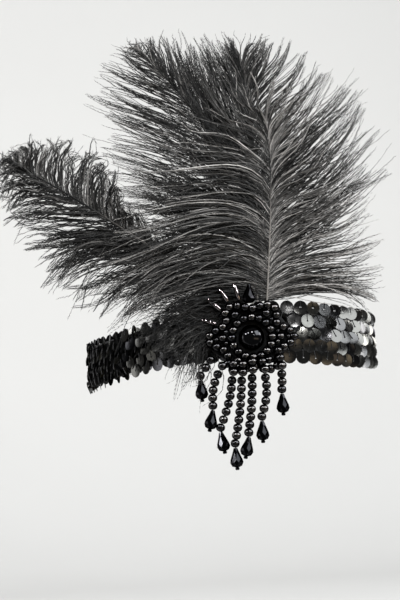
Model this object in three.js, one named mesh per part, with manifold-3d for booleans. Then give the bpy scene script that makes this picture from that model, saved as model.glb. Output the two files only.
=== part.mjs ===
// Flapper headband: a sequined stretch band with a beaded medallion, hanging bead strands and four plumes.
// Millimetres, +Z up. The front of the band faces -Y, and the origin is the centre of the head opening.
import * as THREE from 'three';
import { mergeVertices } from 'three/addons/utils/BufferGeometryUtils.js';
import Module from 'manifold-3d';

const wasm = await Module();
wasm.setup();

// Clearance between neighbouring pieces
const GAP = 0.3;

// Sequin band: a loop round the head, with rows of sequins raised on its outer face
const HEAD_HALF_WIDTH = 79.8;
const HEAD_HALF_DEPTH = 97;
const BAND_WALL = 1.3;
const ROW_RISE = 0.9;
const SEQUIN_ROWS = 5;
const BAND_STEPS = 48;
// The worn band dips at the left, swells at the right and rises at the back: its edges by angle from +X
const BAND_EDGES = [
  { angle: 0, low: -9.5, high: 17.5 },
  { angle: 25, low: -1.5, high: 26 },
  { angle: 60, low: 5.5, high: 33 },
  { angle: 90, low: 7.5, high: 35 },
  { angle: 120, low: 2, high: 29.5 },
  { angle: 155, low: -11, high: 16.5 },
  { angle: 180, low: -19, high: 7.5 },
  { angle: 205, low: -18, high: 7 },
  { angle: 225, low: -14.5, high: 10 },
  { angle: 245, low: -10.3, high: 14 },
  { angle: 270, low: -12.3, high: 17 },
  { angle: 290, low: -13.3, high: 17.8 },
  { angle: 310, low: -14.8, high: 16 },
  { angle: 335, low: -12.8, high: 16.8 },
  { angle: 360, low: -9.5, high: 17.5 },
];

// Medallion: a felt base bent round the front of the band, in (across, up, out) from the band's face
const BASE_CENTRE = { across: -3.5, up: 0.5 };
const BASE_HALF_WIDTH = 21;
const BASE_HALF_HEIGHT = 14.5;
const BASE_THICK = 2;
const BASE_SIDES = 20;
const QUILL_RADIUS = 0.8;
const BASE_BACK = 2 * GAP + 2 * QUILL_RADIUS;
const BASE_FACE = BASE_BACK + BASE_THICK;
const SEWN_PAD = { left: -12, right: 6, low: -11.5, high: -7.5 };

// Centre stone and the two bead rings round it
const STONE_CENTRE = { across: -2.5, up: -1 };
const STONE_RADIUS = 6.4;
const STONE_GIRDLE = 0.8;
const STONE_HEIGHT = 6.6;
const STONE_SIDES = 16;
const BEAD_RADIUS = 2;
const BEAD_SIDES = 10;
const BEAD_SHOULDER = 0.85;
const BEAD_SHOULDER_RADIUS = 1.9;
const BEAD_NECK = 0.7;
const BEAD_END_REACH = 1.92;
const INNER_RING_BEADS = 15;
const INNER_RING_RADIUS = 10.1;
const PETALS = 6;
const PETAL_BEADS = 31;
const PETAL_TIPS = { across: 21.6, up: 18 };
const PETAL_DIPS = { across: 14.7, up: 14.5 };

// Glass bugle spikes at the upper left: direction from the stone, and length
const BUGLE_RADIUS = 1;
const BUGLE_END_RADIUS = 0.8;
const BUGLE_END_SHARE = 0.06;
const BUGLE_CLEARANCE = 0.45;
const BUGLE_SIDES = 8;
const BUGLES = [
  { direction: 106, length: 9 },
  { direction: 121, length: 7.5 },
  { direction: 136, length: 10 },
  { direction: 157, length: 8 },
];

// Faceted drops: profile as share of radius by share of length, from the threaded tip down
const DROP_LENGTH = 9.6;
const DROP_RADIUS = 3.1;
const DROP_SIDES = 8;
const DROP_PROFILE = [
  { radius: 0, down: 0 },
  { radius: 0.28, down: 0.02 },
  { radius: 0.5, down: 0.24 },
  { radius: 0.9, down: 0.6 },
  { radius: 1, down: 0.76 },
  { radius: 0.74, down: 0.94 },
  { radius: 0.3, down: 1 },
  { radius: 0, down: 1 },
];
const TOP_DROP = { across: -2.9, up: 16, lean: 4 };

// Hanging strands, left to right: sideways place of top and end, bow between, heights, and lean of the drop
const STRAND_PITCH = 4.05;
const STRANDS = [
  { across: -24.8, end: -28.7, bow: 0, from: -6, to: -22.5, lean: 2 },
  { across: -19.8, end: -23.4, bow: 0, from: -10, to: -37.5, lean: -12 },
  { across: -13.6, end: -20.2, bow: 1.8, from: -14, to: -47.5, lean: 9 },
  { across: -8.6, end: -13.5, bow: 1, from: -14, to: -56.4, lean: 3 },
  { across: -4, end: -6.6, bow: 1, from: -14, to: -51.5, lean: -12 },
  { across: 0.8, end: 0.3, bow: 2.6, from: -14, to: -43.9, lean: 0 },
  { across: 11.6, end: 11.2, bow: 0.5, from: -8, to: -31.5, lean: 1 },
];

// Plumes: the quill's foot, the shaft as one smooth curve, how far the tips come forward, and the barbs of
// each side along the shaft: where the tip lies, the lift angle from the shaft, and the fall of the tip.
const SHAFT_TIP_RADIUS = 0.4;
const SHAFT_SIDES = 6;
const SHAFT_STEPS = 7;
const LOCKS_A_SIDE = 7;
const LOCK_WIDTH = 13.5;
const LONGEST_LOCK = 90;
const SHORT_LOCK_WIDTH_SHARE = 0.45;
const LOCK_THICK = 1.2;
const LOCK_BEND = 0.42;
const LOCK_LATE = 0.7;
const LOCK_SHAPE = [
  { along: 0, width: 0.12 },
  { along: 0.5, width: 1 },
  { along: 0.8, width: 0.7 },
];
const PLUMES = [
  {
    name: 'plume_front',
    foot: [7, -99.95, -6],
    shaft: [[7, -99.95, 18], [9.5, -103.5, 48], [13, -107, 84], [10.5, -106, 110]],
    forward: 7,
    left: [
      { at: 0.05, across: -74, up: 9, lift: 70, fall: 10 },
      { at: 0.11, across: -83, up: 14, lift: 58, fall: 16 },
      { at: 0.2, across: -82, up: 27, lift: 48, fall: 12 },
      { at: 0.31, across: -75, up: 48, lift: 42, fall: 6 },
      { at: 0.43, across: -68, up: 69, lift: 38, fall: 3 },
      { at: 0.56, across: -60, up: 87, lift: 34, fall: 0 },
      { at: 0.72, across: -40, up: 109, lift: 28, fall: -3 },
      { at: 0.88, across: -15, up: 127, lift: 16, fall: -3 },
      { at: 1, across: 2, up: 134, lift: 6, fall: -3 },
    ],
    right: [
      { at: 0.04, across: 69, up: 30, lift: 54, fall: 2 },
      { at: 0.08, across: 68, up: 41, lift: 46, fall: -2 },
      { at: 0.13, across: 66, up: 54, lift: 38, fall: -4 },
      { at: 0.2, across: 63, up: 67, lift: 32, fall: -6 },
      { at: 0.3, across: 59, up: 78, lift: 28, fall: -7 },
      { at: 0.44, across: 53, up: 90, lift: 25, fall: -7 },
      { at: 0.6, across: 44, up: 104, lift: 22, fall: -6 },
      { at: 0.8, across: 29, up: 121, lift: 16, fall: -4 },
      { at: 1, across: 14, up: 134, lift: 6, fall: -2 },
    ],
  },
  {
    name: 'plume_tall',
    foot: [2.2, -100.3, -6],
    shaft: [[2.2, -100.3, 18], [5, -96, 55], [7, -95, 98], [1, -97, 142]],
    forward: 0,
    left: [
      { at: 0.16, across: -54, up: 90, lift: 36, fall: 0 },
      { at: 0.3, across: -46, up: 118, lift: 31, fall: -2 },
      { at: 0.42, across: -39, up: 138, lift: 27, fall: -3 },
      { at: 0.55, across: -33, up: 151, lift: 24, fall: -4 },
      { at: 0.68, across: -25, up: 157, lift: 20, fall: -4 },
      { at: 0.84, across: -14, up: 160, lift: 12, fall: -3 },
      { at: 1, across: -3, up: 162, lift: 3, fall: 0 },
    ],
    right: [
      { at: 0.13, across: 74, up: 90, lift: 40, fall: -2 },
      { at: 0.2, across: 77, up: 103, lift: 36, fall: -4 },
      { at: 0.28, across: 73, up: 114, lift: 33, fall: -6 },
      { at: 0.37, across: 69, up: 126, lift: 30, fall: -8 },
      { at: 0.46, across: 60, up: 135, lift: 27, fall: -8 },
      { at: 0.56, across: 50, up: 144, lift: 24, fall: -8 },
      { at: 0.68, across: 39, up: 152, lift: 20, fall: -6 },
      { at: 0.83, across: 24, up: 160, lift: 12, fall: -3 },
      { at: 1, across: 7, up: 162, lift: 3, fall: 0 },
    ],
  },
  {
    name: 'plume_sweep',
    foot: [-0.6, -100.3, -6],
    shaft: [[-0.6, -100.3, 18], [3, -90, 68], [-8, -89, 110], [-52, -86, 155]],
    forward: -4,
    left: [
      { at: 0.2, across: -70, up: 78, lift: 43, fall: 3 },
      { at: 0.3, across: -73, up: 99, lift: 40, fall: 2 },
      { at: 0.4, across: -77, up: 112, lift: 38, fall: 1 },
      { at: 0.51, across: -80, up: 125, lift: 36, fall: 0 },
      { at: 0.62, across: -82, up: 137, lift: 33, fall: -1 },
      { at: 0.74, across: -79, up: 147, lift: 28, fall: -1 },
      { at: 0.86, across: -69, up: 154, lift: 18, fall: -1 },
      { at: 1, across: -59, up: 162, lift: 4, fall: 0 },
    ],
    right: [
      { at: 0.2, across: 2, up: 122, lift: 20, fall: 0 },
      { at: 0.35, across: -9, up: 144, lift: 22, fall: -1 },
      { at: 0.5, across: -20, up: 157, lift: 24, fall: -2 },
      { at: 0.62, across: -28, up: 162, lift: 25, fall: -2 },
      { at: 0.76, across: -37, up: 165, lift: 23, fall: -2 },
      { at: 0.89, across: -46, up: 165, lift: 15, fall: -1 },
      { at: 1, across: -55, up: 164, lift: 4, fall: 0 },
    ],
  },
  {
    name: 'plume_side',
    foot: [-3.5, -100.25, -4],
    shaft: [[-8.5, -99.9, 15], [-30, -99.5, 32], [-82, -98, 72], [-117, -92, 92]],
    forward: -2,
    left: [
      { at: 0.2, across: -75.8, up: 12.7, lift: 51.3, fall: 9.5 },
      { at: 0.27, across: -86, up: 14, lift: 50, fall: 12 },
      { at: 0.35, across: -98, up: 20, lift: 48, fall: 7 },
      { at: 0.42, across: -107, up: 28, lift: 46, fall: 6 },
      { at: 0.455, across: -109, up: 33, lift: 44, fall: 6 },
      { at: 0.475, across: -114, up: 45, lift: 43, fall: 5 },
      { at: 0.54, across: -120, up: 52, lift: 40, fall: 4 },
      { at: 0.64, across: -124, up: 60, lift: 37, fall: 5 },
      { at: 0.74, across: -127, up: 67, lift: 34, fall: 5 },
      { at: 0.84, across: -128, up: 75, lift: 30, fall: 4 },
      { at: 0.93, across: -128, up: 84, lift: 20, fall: 2 },
      { at: 1, across: -129, up: 95, lift: 4, fall: 0 },
    ],
    right: [
      { at: 0.2, across: -36.6, up: 40.6, lift: 36.6, fall: 2 },
      { at: 0.3, across: -48, up: 47, lift: 38, fall: 2 },
      { at: 0.42, across: -58, up: 57, lift: 40, fall: 3 },
      { at: 0.5, across: -64, up: 66, lift: 42, fall: 4 },
      { at: 0.56, across: -67, up: 77, lift: 42, fall: 6 },
      { at: 0.62, across: -69, up: 88, lift: 42, fall: 8 },
      { at: 0.68, across: -74, up: 97, lift: 42, fall: 9 },
      { at: 0.75, across: -82, up: 103, lift: 40, fall: 8 },
      { at: 0.83, across: -93, up: 106, lift: 36, fall: 6 },
      { at: 0.91, across: -105, up: 106, lift: 28, fall: 3 },
      { at: 0.96, across: -116, up: 103, lift: 16, fall: 1 },
      { at: 1, across: -126, up: 98, lift: 4, fall: 0 },
    ],
  },
];

const FINISHES = {
  sequin: new THREE.MeshStandardMaterial({ color: 0x0b0b0d, roughness: 0.18, metalness: 0.2 }),
  felt: new THREE.MeshStandardMaterial({ color: 0x08080a, roughness: 0.95, metalness: 0 }),
  pearl: new THREE.MeshStandardMaterial({ color: 0x1a1a1c, roughness: 0.2, metalness: 0.3 }),
  glass: new THREE.MeshStandardMaterial({ color: 0x050506, roughness: 0.05, metalness: 0 }),
  feather: new THREE.MeshStandardMaterial({ color: 0x161514, roughness: 0.7, metalness: 0 }),
};

const radians = THREE.MathUtils.degToRad;
const TOWARDS_VIEWER = new THREE.Vector3(0, -1, 0);

const headband = new THREE.Group();

function addPiece(name, geometry, finish) {
  const piece = new THREE.Mesh(geometry, finish);
  piece.name = name;
  headband.add(piece);
  return piece;
}

// Six times the volume that a triangle list encloses, negative where its faces point inwards
function signedVolume(points, faces) {
  let sum = 0;
  for (const [a, b, c] of faces) {
    sum += points[a].dot(points[b].clone().cross(points[c]));
  }
  return sum;
}

function closedGeometry(points, faces) {
  const outward = signedVolume(points, faces) > 0 ? faces : faces.map(([a, b, c]) => [a, c, b]);
  const geometry = new THREE.BufferGeometry().setFromPoints(points);
  geometry.setIndex(outward.flat());
  geometry.computeVertexNormals();
  return geometry;
}

// A skin over sections with equal numbers of points: a closed loop, or two ends closed by a point or a fan
function loft(sections, { loop = false, start = null, end = null } = {}) {
  const sides = sections[0].length;
  const points = sections.flat();
  const faces = [];
  const spans = loop ? sections.length : sections.length - 1;
  for (let i = 0; i < spans; i += 1) {
    const here = i * sides;
    const next = ((i + 1) % sections.length) * sides;
    for (let k = 0; k < sides; k += 1) {
      const l = (k + 1) % sides;
      faces.push([here + k, next + k, next + l], [here + k, next + l, here + l]);
    }
  }
  const centreOf = (section) => {
    const sum = section.reduce((total, point) => total.add(point), new THREE.Vector3());
    return sum.divideScalar(sides);
  };
  const closeEnd = (first, apex, flip) => {
    const tip = points.push(apex) - 1;
    for (let k = 0; k < sides; k += 1) {
      const l = (k + 1) % sides;
      faces.push(flip ? [tip, first + l, first + k] : [tip, first + k, first + l]);
    }
  };
  if (!loop) {
    const last = (sections.length - 1) * sides;
    closeEnd(0, start ?? centreOf(sections[0]), false);
    closeEnd(last, end ?? centreOf(sections.at(-1)), true);
  }
  return closedGeometry(points, faces);
}

function solidOf(geometry) {
  const bare = geometry.clone();
  bare.deleteAttribute('normal');
  bare.deleteAttribute('uv');
  const merged = mergeVertices(bare, 1e-4);
  const mesh = new wasm.Mesh({
    numProp: 3,
    vertProperties: new Float32Array(merged.attributes.position.array),
    triVerts: new Uint32Array(merged.index.array),
  });
  return new wasm.Manifold(mesh);
}

// One body from several overlapping closed shapes
function fuse(geometries) {
  const body = geometries.map(solidOf).reduce((sum, solid) => sum.add(solid));
  const mesh = body.getMesh();
  const geometry = new THREE.BufferGeometry();
  geometry.setAttribute('position', new THREE.BufferAttribute(mesh.vertProperties, 3));
  geometry.setIndex(new THREE.BufferAttribute(mesh.triVerts, 1));
  geometry.computeVertexNormals();
  return geometry;
}

// Value of one column of a table at a place between its rows
function between(rows, key, place, column) {
  const after = rows.findIndex((row) => row[key] >= place);
  if (after <= 0) {
    return rows[after === 0 ? 0 : rows.length - 1][column];
  }
  const [low, high] = [rows[after - 1], rows[after]];
  const share = (place - low[key]) / (high[key] - low[key]);
  return THREE.MathUtils.lerp(low[column], high[column], share);
}

// As between, eased so that the edge has no corner at a row of the table
function eased(rows, key, place, column) {
  const reach = 10;
  const turn = (value) => (value + 360) % 360;
  const around = [-reach, 0, reach].map((shift) => between(rows, key, turn(place + shift), column));
  return (around[0] + 2 * around[1] + around[2]) / 4;
}

// Band

const BAND_FACE = BAND_WALL + ROW_RISE;

function bandSection(angle) {
  const turn = radians(angle);
  const inner = new THREE.Vector3(HEAD_HALF_WIDTH * Math.cos(turn), HEAD_HALF_DEPTH * Math.sin(turn), 0);
  const out = new THREE.Vector3(
    Math.cos(turn) / HEAD_HALF_WIDTH,
    Math.sin(turn) / HEAD_HALF_DEPTH,
    0,
  ).normalize();
  const low = eased(BAND_EDGES, 'angle', angle, 'low');
  const high = eased(BAND_EDGES, 'angle', angle, 'high');
  const place = (depth, share) => {
    const point = inner.clone().addScaledVector(out, depth);
    point.z = THREE.MathUtils.lerp(low, high, share);
    return point;
  };
  const section = [place(0, 1), place(0, 0)];
  for (let row = 0; row < SEQUIN_ROWS; row += 1) {
    section.push(place(BAND_WALL, row / SEQUIN_ROWS));
    section.push(place(BAND_FACE, (row + 0.5) / SEQUIN_ROWS));
  }
  section.push(place(BAND_WALL, 1));
  return section;
}

function makeBand() {
  const sections = [];
  for (let step = 0; step < BAND_STEPS; step += 1) {
    sections.push(bandSection((step * 360) / BAND_STEPS));
  }
  addPiece('sequin_band', loft(sections, { loop: true }), FINISHES.sequin);
}

// Medallion

const FRONT_HALF_WIDTH = HEAD_HALF_WIDTH + BAND_FACE;
const FRONT_HALF_DEPTH = HEAD_HALF_DEPTH + BAND_FACE;
const FRONT_CURVE = FRONT_HALF_WIDTH ** 2 / FRONT_HALF_DEPTH;

// A point of the medallion, bent round the band's front
function seat(across, up, out) {
  const reach = FRONT_CURVE + out;
  return new THREE.Vector3(
    across,
    FRONT_CURVE - FRONT_HALF_DEPTH - Math.sqrt(reach ** 2 - across ** 2),
    up,
  );
}

function seatNormal(across) {
  return new THREE.Vector3(across, -Math.sqrt(FRONT_CURVE ** 2 - across ** 2), 0).normalize();
}

function makeBase() {
  const oval = (share, out) => {
    const ring = [];
    for (let k = 0; k < BASE_SIDES; k += 1) {
      const turn = (k * 2 * Math.PI) / BASE_SIDES;
      const across = BASE_CENTRE.across + BASE_HALF_WIDTH * share * Math.cos(turn);
      ring.push(seat(across, BASE_CENTRE.up + BASE_HALF_HEIGHT * share * Math.sin(turn), out));
    }
    return ring;
  };
  const middle = (out) => seat(BASE_CENTRE.across, BASE_CENTRE.up, out);
  const shares = [0.35, 0.7, 1];
  const felt = loft(
    [...shares.map((s) => oval(s, BASE_BACK)), ...shares.toReversed().map((s) => oval(s, BASE_FACE))],
    { start: middle(BASE_BACK), end: middle(BASE_FACE) },
  );
  const padSections = [];
  const padSteps = 5;
  for (let step = 0; step <= padSteps; step += 1) {
    const across = THREE.MathUtils.lerp(SEWN_PAD.left, SEWN_PAD.right, step / padSteps);
    padSections.push([
      seat(across, SEWN_PAD.low, GAP),
      seat(across, SEWN_PAD.high, GAP),
      seat(across, SEWN_PAD.high, BASE_BACK + BASE_THICK / 2),
      seat(across, SEWN_PAD.low, BASE_BACK + BASE_THICK / 2),
    ]);
  }
  addPiece('medallion_base', fuse([felt, loft(padSections)]), FINISHES.felt);
}

function makeStone() {
  const profile = [new THREE.Vector2(0, 0), new THREE.Vector2(STONE_RADIUS, 0)];
  const domeSteps = 5;
  for (let step = 0; step <= domeSteps; step += 1) {
    const turn = ((step / domeSteps) * Math.PI) / 2;
    const rise = STONE_GIRDLE + (STONE_HEIGHT - STONE_GIRDLE) * Math.sin(turn);
    profile.push(new THREE.Vector2(step === domeSteps ? 0 : STONE_RADIUS * Math.cos(turn), rise));
  }
  const stone = addPiece('centre_cabochon', new THREE.LatheGeometry(profile, STONE_SIDES), FINISHES.glass);
  const sag = STONE_RADIUS ** 2 / (2 * FRONT_CURVE);
  stone.position.copy(seat(STONE_CENTRE.across, STONE_CENTRE.up, BASE_FACE + GAP + sag / 2));
  stone.quaternion.setFromUnitVectors(new THREE.Vector3(0, 1, 0), seatNormal(STONE_CENTRE.across));
}

// A string of round beads fused at their necks, through the given bead centres
function beadString(centres, loop) {
  const count = centres.length;
  const at = (i) => (loop ? centres[(i + count) % count] : centres[THREE.MathUtils.clamp(i, 0, count - 1)]);
  const ring = (middle, along, radius) => {
    const side = along.clone().cross(TOWARDS_VIEWER).normalize();
    const front = side.clone().cross(along).normalize();
    const points = [];
    for (let k = 0; k < BEAD_SIDES; k += 1) {
      const turn = (k * 2 * Math.PI) / BEAD_SIDES;
      const point = middle.clone().addScaledVector(side, radius * Math.cos(turn));
      points.push(point.addScaledVector(front, radius * Math.sin(turn)));
    }
    return points;
  };
  const sections = [];
  for (let i = 0; i < count; i += 1) {
    const along = at(i + 1).clone().sub(at(i - 1)).normalize();
    const shoulder = along.clone().multiplyScalar(BEAD_SHOULDER);
    sections.push(ring(at(i).clone().sub(shoulder), along, BEAD_SHOULDER_RADIUS));
    sections.push(ring(at(i).clone().add(shoulder), along, BEAD_SHOULDER_RADIUS));
    if (loop || i < count - 1) {
      const step = at(i + 1).clone().sub(at(i));
      const middle = at(i).clone().addScaledVector(step, 0.5);
      sections.push(ring(middle, step.normalize(), BEAD_NECK));
    }
  }
  const endAlong = (i, inner) => at(i).clone().sub(at(inner)).normalize();
  if (!loop) {
    const first = endAlong(0, 1);
    const last = endAlong(count - 1, count - 2);
    const top = at(0).clone().addScaledVector(first, BEAD_END_REACH);
    const bottom = at(count - 1).clone().addScaledVector(last, BEAD_END_REACH);
    sections.unshift(ring(top, first.clone().negate(), BEAD_NECK));
    sections.push(ring(bottom, last, BEAD_NECK));
  }
  return loft(sections, { loop });
}

const BEAD_SEAT = BASE_FACE + GAP + BEAD_RADIUS;

function innerRingCentres() {
  const centres = [];
  for (let k = 0; k < INNER_RING_BEADS; k += 1) {
    const turn = (k * 2 * Math.PI) / INNER_RING_BEADS;
    const across = STONE_CENTRE.across + INNER_RING_RADIUS * Math.cos(turn);
    centres.push(seat(across, STONE_CENTRE.up + INNER_RING_RADIUS * Math.sin(turn), BEAD_SEAT));
  }
  return centres;
}

// The outer string swings out to a petal tip and back to a dip all the way round
function petalCentres() {
  const points = [];
  const fine = 360;
  for (let k = 0; k < fine; k += 1) {
    const turn = (k * 2 * Math.PI) / fine;
    const swing = 0.5 + 0.5 * Math.cos(PETALS * turn);
    const wide = THREE.MathUtils.lerp(PETAL_DIPS.across, PETAL_TIPS.across, swing);
    const tall = THREE.MathUtils.lerp(PETAL_DIPS.up, PETAL_TIPS.up, swing);
    const across = STONE_CENTRE.across + wide * Math.cos(turn);
    points.push(seat(across, STONE_CENTRE.up + tall * Math.sin(turn), BEAD_SEAT));
  }
  const path = new THREE.CatmullRomCurve3(points, true);
  path.arcLengthDivisions = 2 * fine;
  return path.getSpacedPoints(PETAL_BEADS).slice(0, PETAL_BEADS);
}

function lathe(profile, sides) {
  const geometry = new THREE.LatheGeometry(profile, sides);
  return geometry.rotateX(Math.PI / 2);
}

// Spikes that stand out past the petals, each as far in as the beads let it
function makeBugles(beads) {
  const body = (length) => [
    new THREE.Vector2(0, 0),
    new THREE.Vector2(BUGLE_END_RADIUS, 0),
    new THREE.Vector2(BUGLE_RADIUS, length * BUGLE_END_SHARE),
    new THREE.Vector2(BUGLE_RADIUS, length * (1 - BUGLE_END_SHARE)),
    new THREE.Vector2(BUGLE_END_RADIUS, length),
    new THREE.Vector2(0, length),
  ];
  BUGLES.forEach(({ direction, length }, i) => {
    const turn = radians(direction);
    const place = (distance) => seat(
      STONE_CENTRE.across + distance * Math.cos(turn),
      STONE_CENTRE.up + distance * Math.sin(turn),
      BEAD_SEAT,
    );
    const nearest = new THREE.Vector3();
    const touches = (start) => beads.some((bead) => {
      const core = new THREE.Line3(place(start + BUGLE_RADIUS), place(start + length));
      core.closestPointToPoint(bead, true, nearest);
      return nearest.distanceTo(bead) < BEAD_RADIUS + BUGLE_RADIUS + BUGLE_CLEARANCE;
    });
    let start = INNER_RING_RADIUS;
    while (touches(start)) {
      start += 0.1;
    }
    const spike = addPiece(`bugle_spike_${i + 1}`, lathe(body(length), BUGLE_SIDES), FINISHES.glass);
    const along = place(start + length).sub(place(start)).normalize();
    spike.position.copy(place(start));
    spike.quaternion.setFromUnitVectors(new THREE.Vector3(0, 0, 1), along);
  });
}

// A faceted drop whose threaded tip is at its own origin and whose body hangs below it
function dropGeometry() {
  const profile = DROP_PROFILE.map(
    ({ radius, down }) => new THREE.Vector2(radius * DROP_RADIUS, -down * DROP_LENGTH),
  );
  return lathe(profile.toReversed(), DROP_SIDES);
}

function makeTopDrop() {
  const drop = addPiece('top_drop', dropGeometry(), FINISHES.glass);
  const place = seat(TOP_DROP.across, TOP_DROP.up + DROP_LENGTH, BASE_FACE + GAP + DROP_RADIUS);
  drop.position.copy(place);
  drop.rotation.y = radians(TOP_DROP.lean);
}

// Hanging strands

// Bead centres of a strand: the top bead hangs just clear of the beads above it
function strandCentres({ across, end, bow, from, to }, above) {
  const reach = 2 * BEAD_RADIUS + GAP;
  let top = from;
  while (above.some((bead) => bead.distanceTo(seat(across, top, BEAD_SEAT)) < reach)) {
    top -= 0.1;
  }
  const beads = Math.round((top - to) / STRAND_PITCH);
  const centres = [];
  for (let k = 0; k < beads; k += 1) {
    const share = k / (beads - 1);
    const sideways = THREE.MathUtils.lerp(across, end, share) + bow * Math.sin(Math.PI * share);
    centres.push(seat(sideways, top - k * STRAND_PITCH, BEAD_SEAT));
  }
  return centres;
}

function makeStrands(above) {
  STRANDS.forEach((strand, i) => {
    const centres = strandCentres(strand, above);
    addPiece(`strand_${i + 1}`, beadString(centres, false), FINISHES.pearl);
    const drop = addPiece(`drop_${i + 1}`, dropGeometry(), FINISHES.glass);
    drop.position.copy(centres.at(-1));
    drop.position.z -= BEAD_RADIUS + GAP;
    drop.rotation.y = radians(-strand.lean);
  });
}

// Plumes

// Cross-section across a shaft or quill
function shaftRing(middle, along, radius) {
  const side = along.clone().cross(TOWARDS_VIEWER).normalize();
  const front = side.clone().cross(along).normalize();
  const ring = [];
  for (let k = 0; k < SHAFT_SIDES; k += 1) {
    const turn = (k * 2 * Math.PI) / SHAFT_SIDES;
    const point = middle.clone().addScaledVector(side, radius * Math.cos(turn));
    ring.push(point.addScaledVector(front, radius * Math.sin(turn)));
  }
  return ring;
}

function shaftGeometry(foot, curve) {
  const start = curve.getPoint(0);
  const sections = [shaftRing(foot, start.clone().sub(foot).normalize(), QUILL_RADIUS)];
  for (let step = 0; step <= SHAFT_STEPS; step += 1) {
    const share = step / SHAFT_STEPS;
    const radius = THREE.MathUtils.lerp(QUILL_RADIUS, SHAFT_TIP_RADIUS, share);
    sections.push(shaftRing(curve.getPoint(share), curve.getTangent(share), radius));
  }
  return loft(sections);
}

// One lock of barbs: a flat tapered strip that leaves the shaft and bends over to a point
function lockGeometry(curve, rows, at, sign, forward) {
  const root = curve.getPoint(at);
  const tangent = curve.getTangent(at);
  const face = TOWARDS_VIEWER.clone().addScaledVector(tangent, -tangent.dot(TOWARDS_VIEWER)).normalize();
  const outward = tangent.clone().cross(face).multiplyScalar(sign);
  const tip = root.clone();
  tip.x = between(rows, 'at', at, 'across');
  tip.y -= forward;
  tip.z = between(rows, 'at', at, 'up');
  const length = root.distanceTo(tip);
  const lift = radians(between(rows, 'at', at, 'lift'));
  const bend = root.clone().addScaledVector(tangent, LOCK_BEND * length * Math.cos(lift));
  bend.addScaledVector(outward, LOCK_BEND * length * Math.sin(lift));
  const late = root.clone().lerp(tip, LOCK_LATE);
  late.z += between(rows, 'at', at, 'fall');
  const path = new THREE.CubicBezierCurve3(root, bend, late, tip);
  const widest = LOCK_WIDTH * THREE.MathUtils.lerp(SHORT_LOCK_WIDTH_SHARE, 1, length / LONGEST_LOCK);
  const sections = LOCK_SHAPE.map(({ along, width }) => {
    const middle = path.getPoint(along);
    const across = path.getTangent(along).cross(face).normalize().multiplyScalar((width * widest) / 2);
    const ridge = middle.clone().addScaledVector(face, LOCK_THICK * (0.5 + width / 2));
    return [middle.clone().add(across), middle.clone().sub(across), ridge];
  });
  return loft(sections, { end: tip });
}

// Place on the shaft that lies a share of the way through the rows of a side
function placeOnShaft(rows, share) {
  const place = share * (rows.length - 1);
  const row = Math.min(Math.floor(place), rows.length - 2);
  return THREE.MathUtils.lerp(rows[row].at, rows[row + 1].at, place - row);
}

function makePlume({ name, foot, shaft, forward, left, right }) {
  const curve = new THREE.CubicBezierCurve3(...shaft.map((p) => new THREE.Vector3(...p)));
  const shapes = [shaftGeometry(new THREE.Vector3(...foot), curve)];
  for (const [rows, sign] of [[left, -1], [right, 1]]) {
    for (let k = 0; k < LOCKS_A_SIDE; k += 1) {
      const at = placeOnShaft(rows, k / (LOCKS_A_SIDE - 1));
      shapes.push(lockGeometry(curve, rows, at, sign, forward));
    }
  }
  addPiece(name, fuse(shapes), FINISHES.feather);
}

makeBand();
makeBase();
makeStone();
const innerRing = innerRingCentres();
const petals = petalCentres();
addPiece('inner_bead_ring', beadString(innerRing, true), FINISHES.pearl);
addPiece('petal_bead_ring', beadString(petals, true), FINISHES.pearl);
makeBugles([...innerRing, ...petals]);
makeTopDrop();
makeStrands(petals);
PLUMES.forEach(makePlume);

export default headband;
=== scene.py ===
"""Flapper headband: a sequined stretch band with a beaded medallion, hanging bead strands and four plumes."""

import math

import bmesh
import bpy
import numpy as np
from bpy.props import FloatProperty, FloatVectorProperty, IntProperty, PointerProperty
from mathutils import Matrix, Vector


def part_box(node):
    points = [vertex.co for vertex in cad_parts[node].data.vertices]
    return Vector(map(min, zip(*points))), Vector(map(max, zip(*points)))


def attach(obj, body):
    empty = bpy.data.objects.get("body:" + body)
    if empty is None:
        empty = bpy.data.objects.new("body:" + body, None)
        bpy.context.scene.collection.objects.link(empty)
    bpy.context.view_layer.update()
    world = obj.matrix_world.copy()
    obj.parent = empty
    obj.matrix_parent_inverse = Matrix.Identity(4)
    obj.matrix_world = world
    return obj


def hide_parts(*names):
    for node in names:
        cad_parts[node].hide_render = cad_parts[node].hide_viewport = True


bl_info = {
    "name": "Flapper Headband",
    "version": (1, 0, 0),
    "blender": (4, 5, 0),
    "location": "View3D > Sidebar > Headband",
    "description": "Makes a sequined headband with a beaded medallion, hanging strands and plumes",
    "category": "Add Mesh",
}

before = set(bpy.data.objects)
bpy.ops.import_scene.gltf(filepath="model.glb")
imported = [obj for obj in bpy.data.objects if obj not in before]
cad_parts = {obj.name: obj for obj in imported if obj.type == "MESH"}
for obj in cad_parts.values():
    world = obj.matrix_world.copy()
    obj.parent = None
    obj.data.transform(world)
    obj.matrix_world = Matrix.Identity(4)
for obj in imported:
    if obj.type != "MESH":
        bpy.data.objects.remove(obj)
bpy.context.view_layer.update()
BAND_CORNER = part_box("sequin_band")[1]

# Tables are in millimetres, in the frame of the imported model; pieces are made in metres
MM = 0.001
BODY = "root"

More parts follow.
